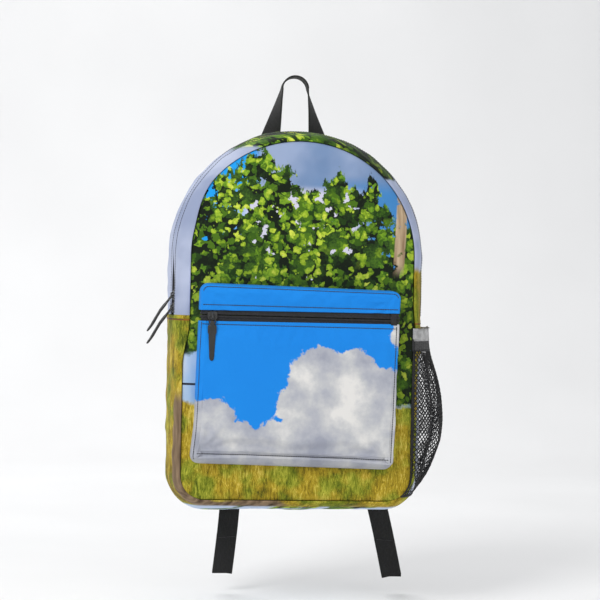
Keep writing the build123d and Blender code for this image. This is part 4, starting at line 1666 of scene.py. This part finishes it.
def make_mesh_pocket():
    heights = (-303.2, -303.0, -304, -306, -310, -314, HEM_LOW_Z)
    hem = mesh_band("mesh_pocket_hem_cloth", heights, 0.3, hem_cloth, 1.8)
    finish_piece(hem, "bag", ["mesh_pocket_hem"])
    rows = np.linspace(HEM_LOW_Z + 2.0, ELASTIC_LOW_Z - 1.0, 7)
    elastic = mesh_band("mesh_pocket_elastic_band", rows, -0.5, elastic_cloth, 1.2, gather=0.45)
    finish_piece(elastic, "bag", ["mesh_pocket_elastic"])

    pitch, step = 4.8, 2.4
    seam_length = MESH_LENGTHS[-1]
    threads = []
    height = ELASTIC_LOW_Z - NET_LOW_Z
    for lean in (1, -1):
        for start in np.arange(-height, seam_length + height, pitch):
            path = []
            for fall in np.arange(0, height + step, step):
                across = start + lean * fall * 0.8
                if 0 <= across <= seam_length:
                    weave = 0.22 * lean * math.cos(math.pi * (fall / pitch))
                    z = ELASTIC_LOW_Z + 1 - min(fall, height)
                    path.append(mesh_point(across / seam_length, z, -0.6 + weave))
            if len(path) > 2:
                threads.append(path)
    net = tube_mesh("mesh_pocket_net_threads", threads, 0.56, net_thread, 4)
    finish_piece(net, "bag", ["mesh_pocket_net"])
    for share, name in ((0.012, "front"), (0.972, "back")):
        stations = []
        for z in np.linspace(HEM_LOW_Z, NET_LOW_Z, 50):
            here, there = np.array(mesh_point(share, z)), np.array(mesh_point(share + 0.02, z))
            stations.append((here, there - here, 3.2))
        edge = strip_mesh("mesh_pocket_edge_" + name, stations, 1.1, binding_cloth)
        finish_piece(edge, "bag")
    stations = []
    for share in np.linspace(0.02, 0.98, 60):
        here = np.array(mesh_point(share, NET_LOW_Z))
        above = np.array(mesh_point(share, NET_LOW_Z + 3))
        stations.append((here, here - above, 3.2))
    edge = strip_mesh("mesh_pocket_edge_low", stations, 1.1, binding_cloth)
    finish_piece(edge, "bag")


# ---- haul loop and back ----

WEBBING_WIDTH = 25.0
LOOP_RADIUS = 16.0
LOOP_FOOT_X = 31.0


def box_stitches(piece, centre, across, along, width, height, direction):
    """A sewn box with a cross in it: paths for the threads."""
    centre, across, along = (np.array(v, float) for v in (centre, across, along))
    corners = [
        centre + across * width / 2 * a + along * height / 2 * b
        for a, b in ((-1, -1), (1, -1), (1, 1), (-1, 1))
    ]
    lines = [corners + corners[:1], [corners[0], corners[2]], [corners[1], corners[3]]]
    threads = []
    for line in lines:
        for start, end in zip(line, line[1:]):
            dense = [start + (end - start) * t for t in np.linspace(0, 1, 8)]
            threads += stitch_row(piece, dense, direction)
    return threads


def make_haul_loop():
    centre_z = 1.0 - LOOP_RADIUS
    foot_z = TOP_Z - 12.0
    leg = []
    for share in np.linspace(0, 1, 22):
        x = LOOP_FOOT_X + (LOOP_RADIUS - LOOP_FOOT_X) * share
        z = foot_z + (centre_z - foot_z) * share
        turn = math.acos(max(0.0, 1 - 1.02 * max(0.0, share - 0.06)))
        leg.append(((x, 0, z), (math.cos(turn), math.sin(turn), 0)))
    stations = [((-x, y, z), (c, -s, 0), WEBBING_WIDTH) for (x, y, z), (c, s, _) in leg]
    for angle in np.linspace(math.pi, 0, 22)[1:-1]:
        place = (LOOP_RADIUS * math.cos(angle), 0, centre_z + LOOP_RADIUS * math.sin(angle))
        stations.append((place, (0, -1, 0), WEBBING_WIDTH))
    stations += [((x, y, z), (-c, -s, 0), WEBBING_WIDTH) for (x, y, z), (c, s, _) in leg[::-1]]
    loop = strip_mesh("haul_loop_webbing", stations, 1.9, webbing_cloth, columns=16)
    finish_piece(loop, "bag", ["haul_loop"])


def rounded_slab(name, low, high, y, rise, material, pitch, corner, edge, shape=None):
    """A padded panel standing off a wall at +Y: its face swells from a rounded rim."""
    half, middle = (high[0] - low[0]) / 2, (low[0] + high[0]) / 2
    rim = Rim(half, low[1], high[1], corner, corner)
    columns, rows = int(2 * half / pitch), int((high[1] - low[1]) / pitch)
    grid, border = Patch(rim, columns, rows).fill(0)
    flat = grid.reshape(-1, 2)
    corner_x, corner_z = half - corner, (high[1] - low[1]) / 2 - corner
    from_middle = np.abs(flat - (0, (low[1] + high[1]) / 2)) - (corner_x, corner_z)
    outside = np.linalg.norm(np.clip(from_middle, 0, None), axis=1)
    inside = corner - outside + np.clip(-np.max(from_middle, axis=1), 0, None) * (outside == 0)
    share = np.clip(inside / edge, 0, 1)
    lift = rise * np.sqrt(1 - (1 - share) ** 2)
    if shape is not None:
        lift = shape(flat[:, 0] + middle, flat[:, 1], lift)
    points = np.stack([flat[:, 0] + middle, y + lift, flat[:, 1]], axis=1)
    faces = grid_faces(rows + 1, columns + 1, flip=True)
    piece = make_object(name, points, faces, material, uv=points[:, (0, 2)] * MM)
    return piece, border


PAD_LOW, PAD_HIGH = node_box("back_padding")
QUILT_LINES = (-228, -305, -382)


def quilted(x, z, lift):
    """The back pad's shape: an air channel up the middle and stitched-down lines across."""
    channel = 1 - 0.72 * smooth_step(13.5, 9.0, np.abs(x))
    lines = np.ones(len(x))
    for line in QUILT_LINES:
        lines = np.minimum(lines, 1 - 0.5 * np.exp(-(((z - line) / 3.4) ** 2)))
    return lift * channel * lines


def make_back():
    pad, border = rounded_slab(
        "back_padding_cloth",
        (PAD_LOW[0], PAD_LOW[2]),
        (PAD_HIGH[0], PAD_HIGH[2]),
        BACK_Y + 0.4,
        PAD_HIGH[1] - BACK_Y - 1.6,
        strap_cloth,
        pitch=4.6,
        corner=30.0,
        edge=9.0,
        shape=quilted,
    )
    points = get_points(pad)
    held = np.zeros(len(points))
    held[border] = 1
    seam = smooth_step(11, 8, np.abs(points[:, 0]))
    for line in QUILT_LINES:
        seam = np.maximum(seam, np.abs(points[:, 2] - line) < 2.5)
    settle_cloth(pad, np.maximum(held, seam), pressure=4.0, slack=0.02, limit=2.2)
    add_thickness(pad, 1.4, subdivide=1)
    finish_piece(pad, "bag", ["back_padding"])

    low, high = node_box("strap_yoke")
    corners = (low[0], low[2]), (high[0], high[2])
    yoke, _ = rounded_slab(
        "strap_yoke_cloth", *corners, BACK_Y - 0.4, 2.2, black_cloth, pitch=3.0, corner=5.0, edge=3.0
    )
    add_thickness(yoke, 1.2)
    finish_piece(yoke, "bag", ["strap_yoke"])
    threads = []
    for z in (low[2] + 4, high[2] - 4):
        line = [(x, BEHIND_BAG, z) for x in np.linspace(low[0] + 5, high[0] - 5, 40)]
        threads += stitch_row(yoke, line, (0, -1, 0))
    for z in (PAD_LOW[2] + 5, PAD_HIGH[2] - 5, *QUILT_LINES):
        for start, end in ((-100, -16), (16, 100)):
            line = [(x, BEHIND_BAG, z) for x in np.linspace(start, end, 30)]
            threads += stitch_row(pad, line, (0, -1, 0))
    for x in (-11, 11):
        line = [(x, BEHIND_BAG, z) for z in np.linspace(PAD_LOW[2] + 8, PAD_HIGH[2] - 8, 90)]
        threads += stitch_row(pad, line, (0, -1, 0))
    finish_piece(tube_mesh("back_stitches", threads, 0.26, black_thread, 5), "bag")


def make_inside():
    """The padded laptop sleeve and the bound seams, which can't be seen from outside."""
    low, high = node_box("laptop_sleeve")
    half, front, back = high[0] - 0.5, low[1] + 0.5, high[1]
    path = [(-half, back), (-half, back - 10), (-half, front + 8)]
    path += [(-half + 3, front + 2.4), (-half + 8, front)]
    path += [(x, front) for x in np.linspace(-half + 20, half - 20, 30)]
    path += [(-x, y) for x, y in path[4::-1]]
    heights = [low[2] + 1, low[2] + 1.5, low[2] + 6]
    heights += [*np.linspace(low[2] + 14, high[2] - 6, 34), high[2] - 1]
    walls = np.array([(x, y, z) for z in heights for x, y in path])
    walls[:, 1] += value_noise(walls, 45, 88) * (walls[:, 1] < front + 1)
    faces = grid_faces(len(heights), len(path))
    floor = [
        (x, y, low[2] + 1.2)
        for y in np.linspace(front + 1, back, 6)
        for x in np.linspace(-half + 2, half - 2, 30)
    ]
    faces += grid_faces(6, 30, offset=len(walls))
    sleeve = make_object("laptop_sleeve_cloth", np.vstack([walls, floor]), faces, black_cloth)
    add_thickness(sleeve, 2.4)
    finish_piece(sleeve, "bag", ["laptop_sleeve"])
    for side in ("front", "back"):
        low, high = node_box(side + "_seam_binding")
        places = np.linspace(0, BODY_RIM.total, 420, endpoint=False)
        inset = HALF_WIDTH - high[0] + 1.0
        width = high[1] - low[1]
        upper = [(-0.46, 0.5), (-0.3, 0.7), (0.3, 0.7), (0.46, 0.5)]
        section = [(-0.5, 0.0), *upper, (0.5, 0.0)] + [(a, -b) for a, b in upper[::-1]]
        points = []
        for place in places:
            for along_y, out in section:
                (x, z), _ = BODY_RIM.at(place, inset - out + 0.15 * math.sin(place * 0.9))
                points.append((x, (low[1] + high[1]) / 2 + along_y * width, z))
        faces = grid_faces(len(places), len(section), closed=True)
        last = (len(places) - 1) * len(section)
        for k in range(len(section)):
            m = (k + 1) % len(section)
            faces.append((last + k, last + m, m, k))
        tape = make_object(side + "_binding_tape", points, faces, binding_cloth)
        finish_piece(tape, "bag", [side + "_seam_binding"])


# ---- shoulder straps ----

# Centre, width and thickness down the right strap; the left one mirrors it.
STRAP_STATIONS = (
    (42.0, 14.4, -110.0, 60.0, 7.0),
    (45.0, 17.6, -125.0, 61.0, 9.0),
    (52.0, 25.0, -150.0, 62.0, 11.0),
    (72.0, 38.0, -210.0, 64.0, 11.5),
    (84.0, 42.0, -260.0, 62.0, 11.5),
    (82.0, 37.0, -310.0, 56.0, 11.0),
    (74.0, 27.4, -350.0, 46.0, 9.0),
    (70.0, 23.4, -372.0, 33.0, 5.6),
)
LOCK_LOW, LOCK_HIGH = node_box("ladder_lock_right")
LOCK_X = (LOCK_LOW[0] + LOCK_HIGH[0]) / 2
LOCK_Y = 23.0
LOCK_BAR = 2.0
LOCK_TOP_Z = LOCK_HIGH[2] - LOCK_BAR
LOCK_PITCH = 13.0
WRAP_RADIUS = LOCK_BAR + 0.5 + 0.8
THIN_WEBBING = 1.6


def strap_frames(side, count=72):
    stations = np.array(STRAP_STATIONS)
    smooth = curve_points(stations, count)
    centres = smooth[:, :3] * (side, 1, 1)
    along = np.gradient(centres, axis=0)
    along /= np.linalg.norm(along, axis=1, keepdims=True)
    across = np.array((1.0, 0, 0)) - along * along[:, :1]
    across /= np.linalg.norm(across, axis=1, keepdims=True)
    outward = np.cross(across, along)
    outward *= np.sign(outward[:, 1:2])
    return centres, across, outward, smooth[:, 3], smooth[:, 4]


def make_strap(name, side):
    centres, across, outward, widths, depths = strap_frames(side)
    around = 36
    points = []
    edge_share = []
    for centre, wide, out, width, depth in zip(centres, across, outward, widths, depths):
        for step in range(around):
            angle = 2 * math.pi * step / around
            c, s = math.cos(angle), math.sin(angle)
            a = math.copysign(abs(c) ** 0.75, c) * (width / 2 - 1.2)
            b = math.copysign(abs(s) ** 0.62, s) * (depth / 2 - 0.9)
            points.append(centre + wide * a + out * b)
            edge_share.append(1.0 if abs(s) < 0.2 else 0.0)
    faces = grid_faces(len(centres), around, closed=True) + end_caps(len(centres), around)
    strap = make_object(f"strap_{name}_padding", points, faces, strap_cloth)
    held = np.array(edge_share)
    held[: 2 * around] = 1
    held[-3 * around :] = 1
    settle_cloth(strap, held, pressure=4.0, slack=0.025, limit=1.2)
    shape = get_points(strap)
    rows = np.repeat(np.arange(len(centres)), around)
    from_centre = shape - centres[rows]
    soft = value_noise(shape, 16, 5 + side) * 0.35 * (1 - np.array(edge_share))
    shape += from_centre / np.linalg.norm(from_centre, axis=1, keepdims=True) * soft[:, None]
    set_points(strap, shape)
    smooth = strap.modifiers.new("smooth", "SUBSURF")
    smooth.levels = smooth.render_levels = 1
    apply_modifiers(strap)
    strap.data.polygons.foreach_set("use_smooth", [True] * len(strap.data.polygons))
    finish_piece(strap, "bag", [f"shoulder_strap_{name}"])

    # Bound edges and a row of stitches beside each.
    threads = []
    for edge in (-1, 1):
        rim = [c + w * edge * (width / 2 - 1.6) for c, w, width in zip(centres, across, widths)]
        binding_name = f"strap_{name}_binding_" + ("in" if edge < 0 else "out")
        binding = tube_mesh(binding_name, [rim], 2.1, binding_cloth, 10)
        finish_piece(binding, "bag")
        line = [
            c + w * edge * (width / 2 - 6.0) + np.array((0, 40, 0))
            for c, w, width in zip(centres[3:-3], across[3:-3], widths[3:-3])
        ]
        threads += stitch_row(strap, line, (0, -1, 0))
    finish_piece(tube_mesh(f"strap_{name}_stitches", threads, 0.26, black_thread, 5), "bag")


def loop_path(centre_y, centre_z, radius, top_z, gap, start, end, steps=18):
    """A webbing's path in Y and Z: down one side, round a bar, and up the other side."""
    path = [(centre_y + gap, top_z)]
    for angle in np.linspace(math.radians(start), math.radians(end), steps):
        path.append((centre_y + radius * math.cos(angle), centre_z + radius * math.sin(angle)))
    path.append((centre_y - gap, top_z))
    return path


def make_strap_end(name, side):
    x = LOCK_X * side
    path = loop_path(LOCK_Y, LOCK_TOP_Z, WRAP_RADIUS, LOCK_TOP_Z + 12.5, 0.85, 28, -208)
    stations = [((x, y, z), (1, 0, 0), WEBBING_WIDTH) for y, z in curve_points(path, 46)]
    loop = strip_mesh(f"strap_{name}_end_loop", stations, THIN_WEBBING, webbing_cloth, columns=14)
    finish_piece(loop, "bag", [f"strap_end_loop_{name}"])


def prism_along_x(outline, low, high):
    points, faces = prism(outline, low, high)
    return [(h, a, b) for a, b, h in points], faces


def make_lock(name, side):
    place = Place((LOCK_X * side, LOCK_Y, LOCK_TOP_Z), (1, 0, 0), (0, 0, 1))
    low = LOCK_LOW[2] - LOCK_TOP_Z
    blocks = []
    for end in (-1, 1):
        inner, outer = sorted((end * 13.5, end * 18.0))
        side_outline = [
            (-2.0, 1.2),
            (-1.2, 2.0),
            (1.2, 2.0),
            (2.0, 1.2),
            (2.0, low + 4),
            (1.4, low + 2),
            (-0.6, low + 2),
            (-2.0, low + 4.5),
        ]
        blocks.append(prism_along_x(side_outline[::-1], inner, outer))
    for bar in range(3):
        circle = [
            (LOCK_BAR * math.cos(t), -bar * LOCK_PITCH + LOCK_BAR * math.sin(t))
            for t in np.linspace(0, 2 * math.pi, 14, endpoint=False)
        ]
        blocks.append(prism_along_x(circle, -16, 16))
    lip_top = -2 * LOCK_PITCH + 1
    lip = [(-0.5, lip_top), (-0.5, low + 0.6), (0.4, low), (1.6, low), (2.0, low + 0.8), (2.0, lip_top)]
    blocks.append(prism_along_x(lip, -18, 18))
    for rib in (low + 2.2, low + 3.8, low + 5.4):
        ridge = [(1.8, rib - 0.45), (2.35, rib), (1.8, rib + 0.45)]
        blocks.append(prism_along_x(ridge, -14, 14))
    lock = moulded_piece(f"lock_{name}_moulding", place, blocks, lock_plastic, bevel=0.35)
    finish_piece(lock, f"ladder_lock_{name}", [f"ladder_lock_{name}"])


def make_lower_webbing(name, side):
    near_y = LOCK_Y - WRAP_RADIUS
    bar_z = LOCK_TOP_Z - LOCK_PITCH
    controls = [
        (112.0 * side, 9.2, -488.0, 0.30),
        (110.5 * side, 12.4, -476.0, 0.30),
        (104.0 * side, 17.6, -458.0, 0.30),
        (88.0 * side, 19.2, -432.0, 0.18),
        (LOCK_X * side, near_y - 0.6, bar_z - LOCK_PITCH - 3, 0.0),
        (LOCK_X * side, near_y, bar_z - 1, 0.0),
    ]
    stations = [
        ((x, y, z), (1, 0, lean * side), WEBBING_WIDTH) for x, y, z, lean in curve_points(controls, 56)
    ]
    webbing = strip_mesh(f"lower_webbing_{name}", stations, THIN_WEBBING, webbing_cloth, columns=14)
    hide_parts(f"adjuster_webbing_{name}")
    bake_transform(webbing)

    low, high = node_box(f"strap_anchor_{name}")
    corners = (low[0], low[2]), (high[0], high[2])
    anchor, _ = rounded_slab(
        f"anchor_{name}_cloth", *corners, BACK_Y - 0.5, 2.0, black_cloth, pitch=2.4, corner=3.0, edge=2.4
    )
    add_thickness(anchor, 1.0)
    finish_piece(anchor, "bag", [f"strap_anchor_{name}"])
    middle = ((low[0] + high[0]) / 2, BEHIND_BAG, (low[2] + high[2]) / 2 + 4)
    threads = box_stitches(anchor, middle, (1, 0, 0), (0, 0, 1), 30, 10, (0, -1, 0))
    finish_piece(tube_mesh(f"anchor_{name}_stitches", threads, 0.25, black_thread, 5), "bag")


def make_tail(name, side):
    """The free end of the webbing: over the middle bar, down past the bag, its end folded and sewn."""
    low, high = node_box(f"webbing_tail_{name}")
    bar_z = LOCK_TOP_Z - LOCK_PITCH
    end_x = (high[0] - WEBBING_WIDTH / 2) if side > 0 else (low[0] + WEBBING_WIDTH / 2)
    end_z = low[2] + 1.0
    face_y = LOCK_Y + WRAP_RADIUS
    stations = []
    for angle in np.linspace(1.95, 0.1, 12):
        y, z = LOCK_Y + WRAP_RADIUS * math.cos(angle), bar_z + WRAP_RADIUS * math.sin(angle)
        stations.append(((LOCK_X * side, y, z), (1, 0, 0), WEBBING_WIDTH))
    drop = bar_z - end_z
    for share in np.linspace(0.02, 1, 60):
        bow = math.sin(share * math.pi)
        x = LOCK_X * side + (end_x - LOCK_X * side) * share + 6.0 * bow
        sway = 1.1 * bow + 0.5 * math.sin(share * 9)
        slope = 0.10 * side * math.cos(share * math.pi)
        stations.append(((x, face_y + sway * 0.8, bar_z - drop * share), (1, 0, slope), WEBBING_WIDTH))
    tail = strip_mesh(f"tail_{name}_webbing", stations, THIN_WEBBING, webbing_cloth, columns=16)
    finish_piece(tail, f"webbing_tail_{name}", [f"webbing_tail_{name}"])

    # The end is folded back on itself and sewn down.
    hem = [((x, y + THIN_WEBBING + 0.1, z), across, wide) for (x, y, z), across, wide in stations[-14:]]
    (x, y, z), across, wide = hem[-1]
    hem.append(((x, y - 0.3, z - 0.8), across, wide * 0.995))
    fold = strip_mesh(f"tail_{name}_hem", hem, THIN_WEBBING, webbing_cloth, columns=16)
    finish_piece(fold, f"webbing_tail_{name}")
    (x, _, z), across, _ = hem[1]
    line = [(x + d, BEHIND_BAG, z + d * across[2]) for d in np.linspace(-11, 11, 12)]
    threads = stitch_row(fold, line, (0, -1, 0))
    # The same stitches show on the front of the doubled webbing.
    through = np.array((0, 2 * THIN_WEBBING + 0.5, 0))
    threads += [[point - through for point in path] for path in threads]
    stitches = tube_mesh(f"tail_{name}_stitches", threads, 0.26, black_thread, 5)
    finish_piece(stitches, f"webbing_tail_{name}")


# ---- stitches on the printed cloth ----


def pocket_line(inset, start, end, count=160):
    """A line round the front pocket at a distance in from its rim, between two places."""
    line = []
    for place in np.linspace(start, end, count):
        (x, z), _ = POCKET_RIM.at(place, inset)
        line.append((x, BEFORE_BAG, z))
    return pocket_skew(line)


STITCH_STEPS = (0.0, 0.6, 1.1, 1.6, 2.2)
STITCH_LIFTS = (-0.2, 0.12, 0.2, 0.12, -0.2)


def stitch_on(piece, starts, direction):
    """One stitch's path over a piece, dipping into the cloth at both ends."""
    path = []
    for start, lift in zip(starts, STITCH_LIFTS):
        hit = cast_cache(piece, [start], direction)[0]
        if hit is not None:
            path.append(hit[0] + hit[1] * lift)
    return path


def make_stitches(band, bag, flaps, base):
    threads = []
    total = POCKET_RIM.total
    top_start, top_end = POCKET_RIM.middle(3) - 6, POCKET_RIM.middle(5) + 6
    threads += stitch_row(band, pocket_line(4.0, top_start, top_end), (0, 1, 0))
    for z, piece in ((POCKET_SLIT_HIGH + 4.6, band), (POCKET_SLIT_LOW - 3.6, bag)):
        line = [(x, BEFORE_BAG, z) for x in np.linspace(-POCKET_HALF + 4, POCKET_HALF - 3.5, 120)]
        threads += stitch_row(piece, pocket_skew(line), (0, 1, 0))
    right_top = POCKET_RIM.lengths[0] + POCKET_RIM.lengths[1] + POCKET_RIM.lengths[2]
    right_zip = right_top - (POCKET_TOP_Z - 10 - POCKET_SLIT_LOW) - 1
    threads += stitch_row(bag, pocket_line(4.6, POCKET_RIM.lengths[0] + 14, right_zip), (0, 1, 0))
    left_start = total - POCKET_RIM.lengths[8] - POCKET_RIM.lengths[7] - POCKET_RIM.lengths[6]
    left_zip = left_start + (POCKET_TOP_Z - 10 - POCKET_SLIT_LOW) + 1
    left_end = total - POCKET_RIM.lengths[8] - 8
    threads += stitch_row(bag, pocket_line(3.2, left_zip, left_end), (0, 1, 0))
    low_z = POCKET_BOTTOM_Z + 12.4
    low_line = [(x, BEFORE_BAG, low_z) for x in np.linspace(-POCKET_HALF + 7, POCKET_HALF - 7, 120)]
    threads += stitch_row(bag, pocket_skew(low_line), (0, 1, 0))
    finish_piece(tube_mesh("pocket_stitches", threads, 0.46, dark_thread, 5), "bag")

    threads = []
    start = BASE_TOP_PLACE + 4
    for offset, piece in ((-8.0, flaps[0]), (8.5, flaps[1])):
        back = MAIN_ZIP_BACK + offset
        for first in np.arange(start, BODY_RIM.total - start, 3.1):
            starts = []
            for step in STITCH_STEPS:
                (x, z), normal = BODY_RIM.at(first + step, -30)
                starts.append((x, FRONT_Y + back, z))
            threads.append(stitch_on(piece, starts, (-normal[0], 0, -normal[1])))
    for side in (-1, 1):
        for first in np.arange(FRONT_Y + 4, BACK_Y - 4, 2.9):
            starts = [(side * (HALF_WIDTH + 30), first + step, BASE_TOP_Z - 4.6) for step in STITCH_STEPS]
            threads.append(stitch_on(base, starts, (-side, 0, 0)))
    threads = [path for path in threads if len(path) == len(STITCH_STEPS)]
    finish_piece(tube_mesh("gusset_stitches", threads, 0.4, dark_thread, 4), "bag")


# ---- stage ----

LIGHT_AIM = (0, -56, -290)


def make_stage():
    """A plain pale floor that curves up into a far backdrop, and soft light from the upper left."""
    floor_z, back, half, rise, bend = -640, 2300, 4200, 3600, 900
    profile = [(-3600, floor_z), (back - bend, floor_z)]
    for step in range(1, 13):
        angle = math.radians(90 * step / 12)
        profile.append((back - bend + bend * math.sin(angle), floor_z + bend * (1 - math.cos(angle))))
    profile.append((back, floor_z + rise))
    points = [(x, y, z) for y, z in profile for x in (-half, half)]
    stage = make_object("stage", points, grid_faces(len(profile), 2), make_backdrop_material())
    world = bpy.data.worlds.new("soft_room")
    world.use_nodes = True
    world.node_tree.nodes["Background"].inputs[0].default_value = (0.97, 0.98, 1.0, 1)
    world.node_tree.nodes["Background"].inputs[1].default_value = 0.66
    bpy.context.scene.world = world
    bpy.context.scene.view_settings.view_transform = "Standard"
    lights = (
        ("key_light", (-1700, -1900, 1500), 1.1, 48),
        ("fill_light", (1900, -1800, 300), 1.8, 13),
        ("back_light", (-600, 1500, 1500), 1.4, 22),
    )
    for name, place, size, power in lights:
        lamp = bpy.data.lights.new(name, "AREA")
        lamp.size = size
        lamp.energy = power
        light = bpy.data.objects.new(name, lamp)
        light.location = Vector(place) * MM
        toward = Vector(LIGHT_AIM) * MM - light.location
        light.rotation_euler = toward.to_track_quat("-Z", "Y").to_euler()
        bpy.context.collection.objects.link(light)


make_stage()


# ---- the bag ----

make_front_panel(vineyard_print)
gusset = make_gusset(gusset_print)
make_back_panel(black_cloth)
pocket_band, pocket_bag = make_front_pocket(pocket_print)
make_pocket_zip()
make_main_zip()
make_sliders()
make_mesh_pocket()
make_haul_loop()
make_back()
make_inside()
for name, side in (("left", -1), ("right", 1)):
    make_strap(name, side)
    make_strap_end(name, side)
    make_lock(name, side)
    make_lower_webbing(name, side)
    make_tail(name, side)
make_stitches(pocket_band, pocket_bag, gusset[:2], gusset[2])
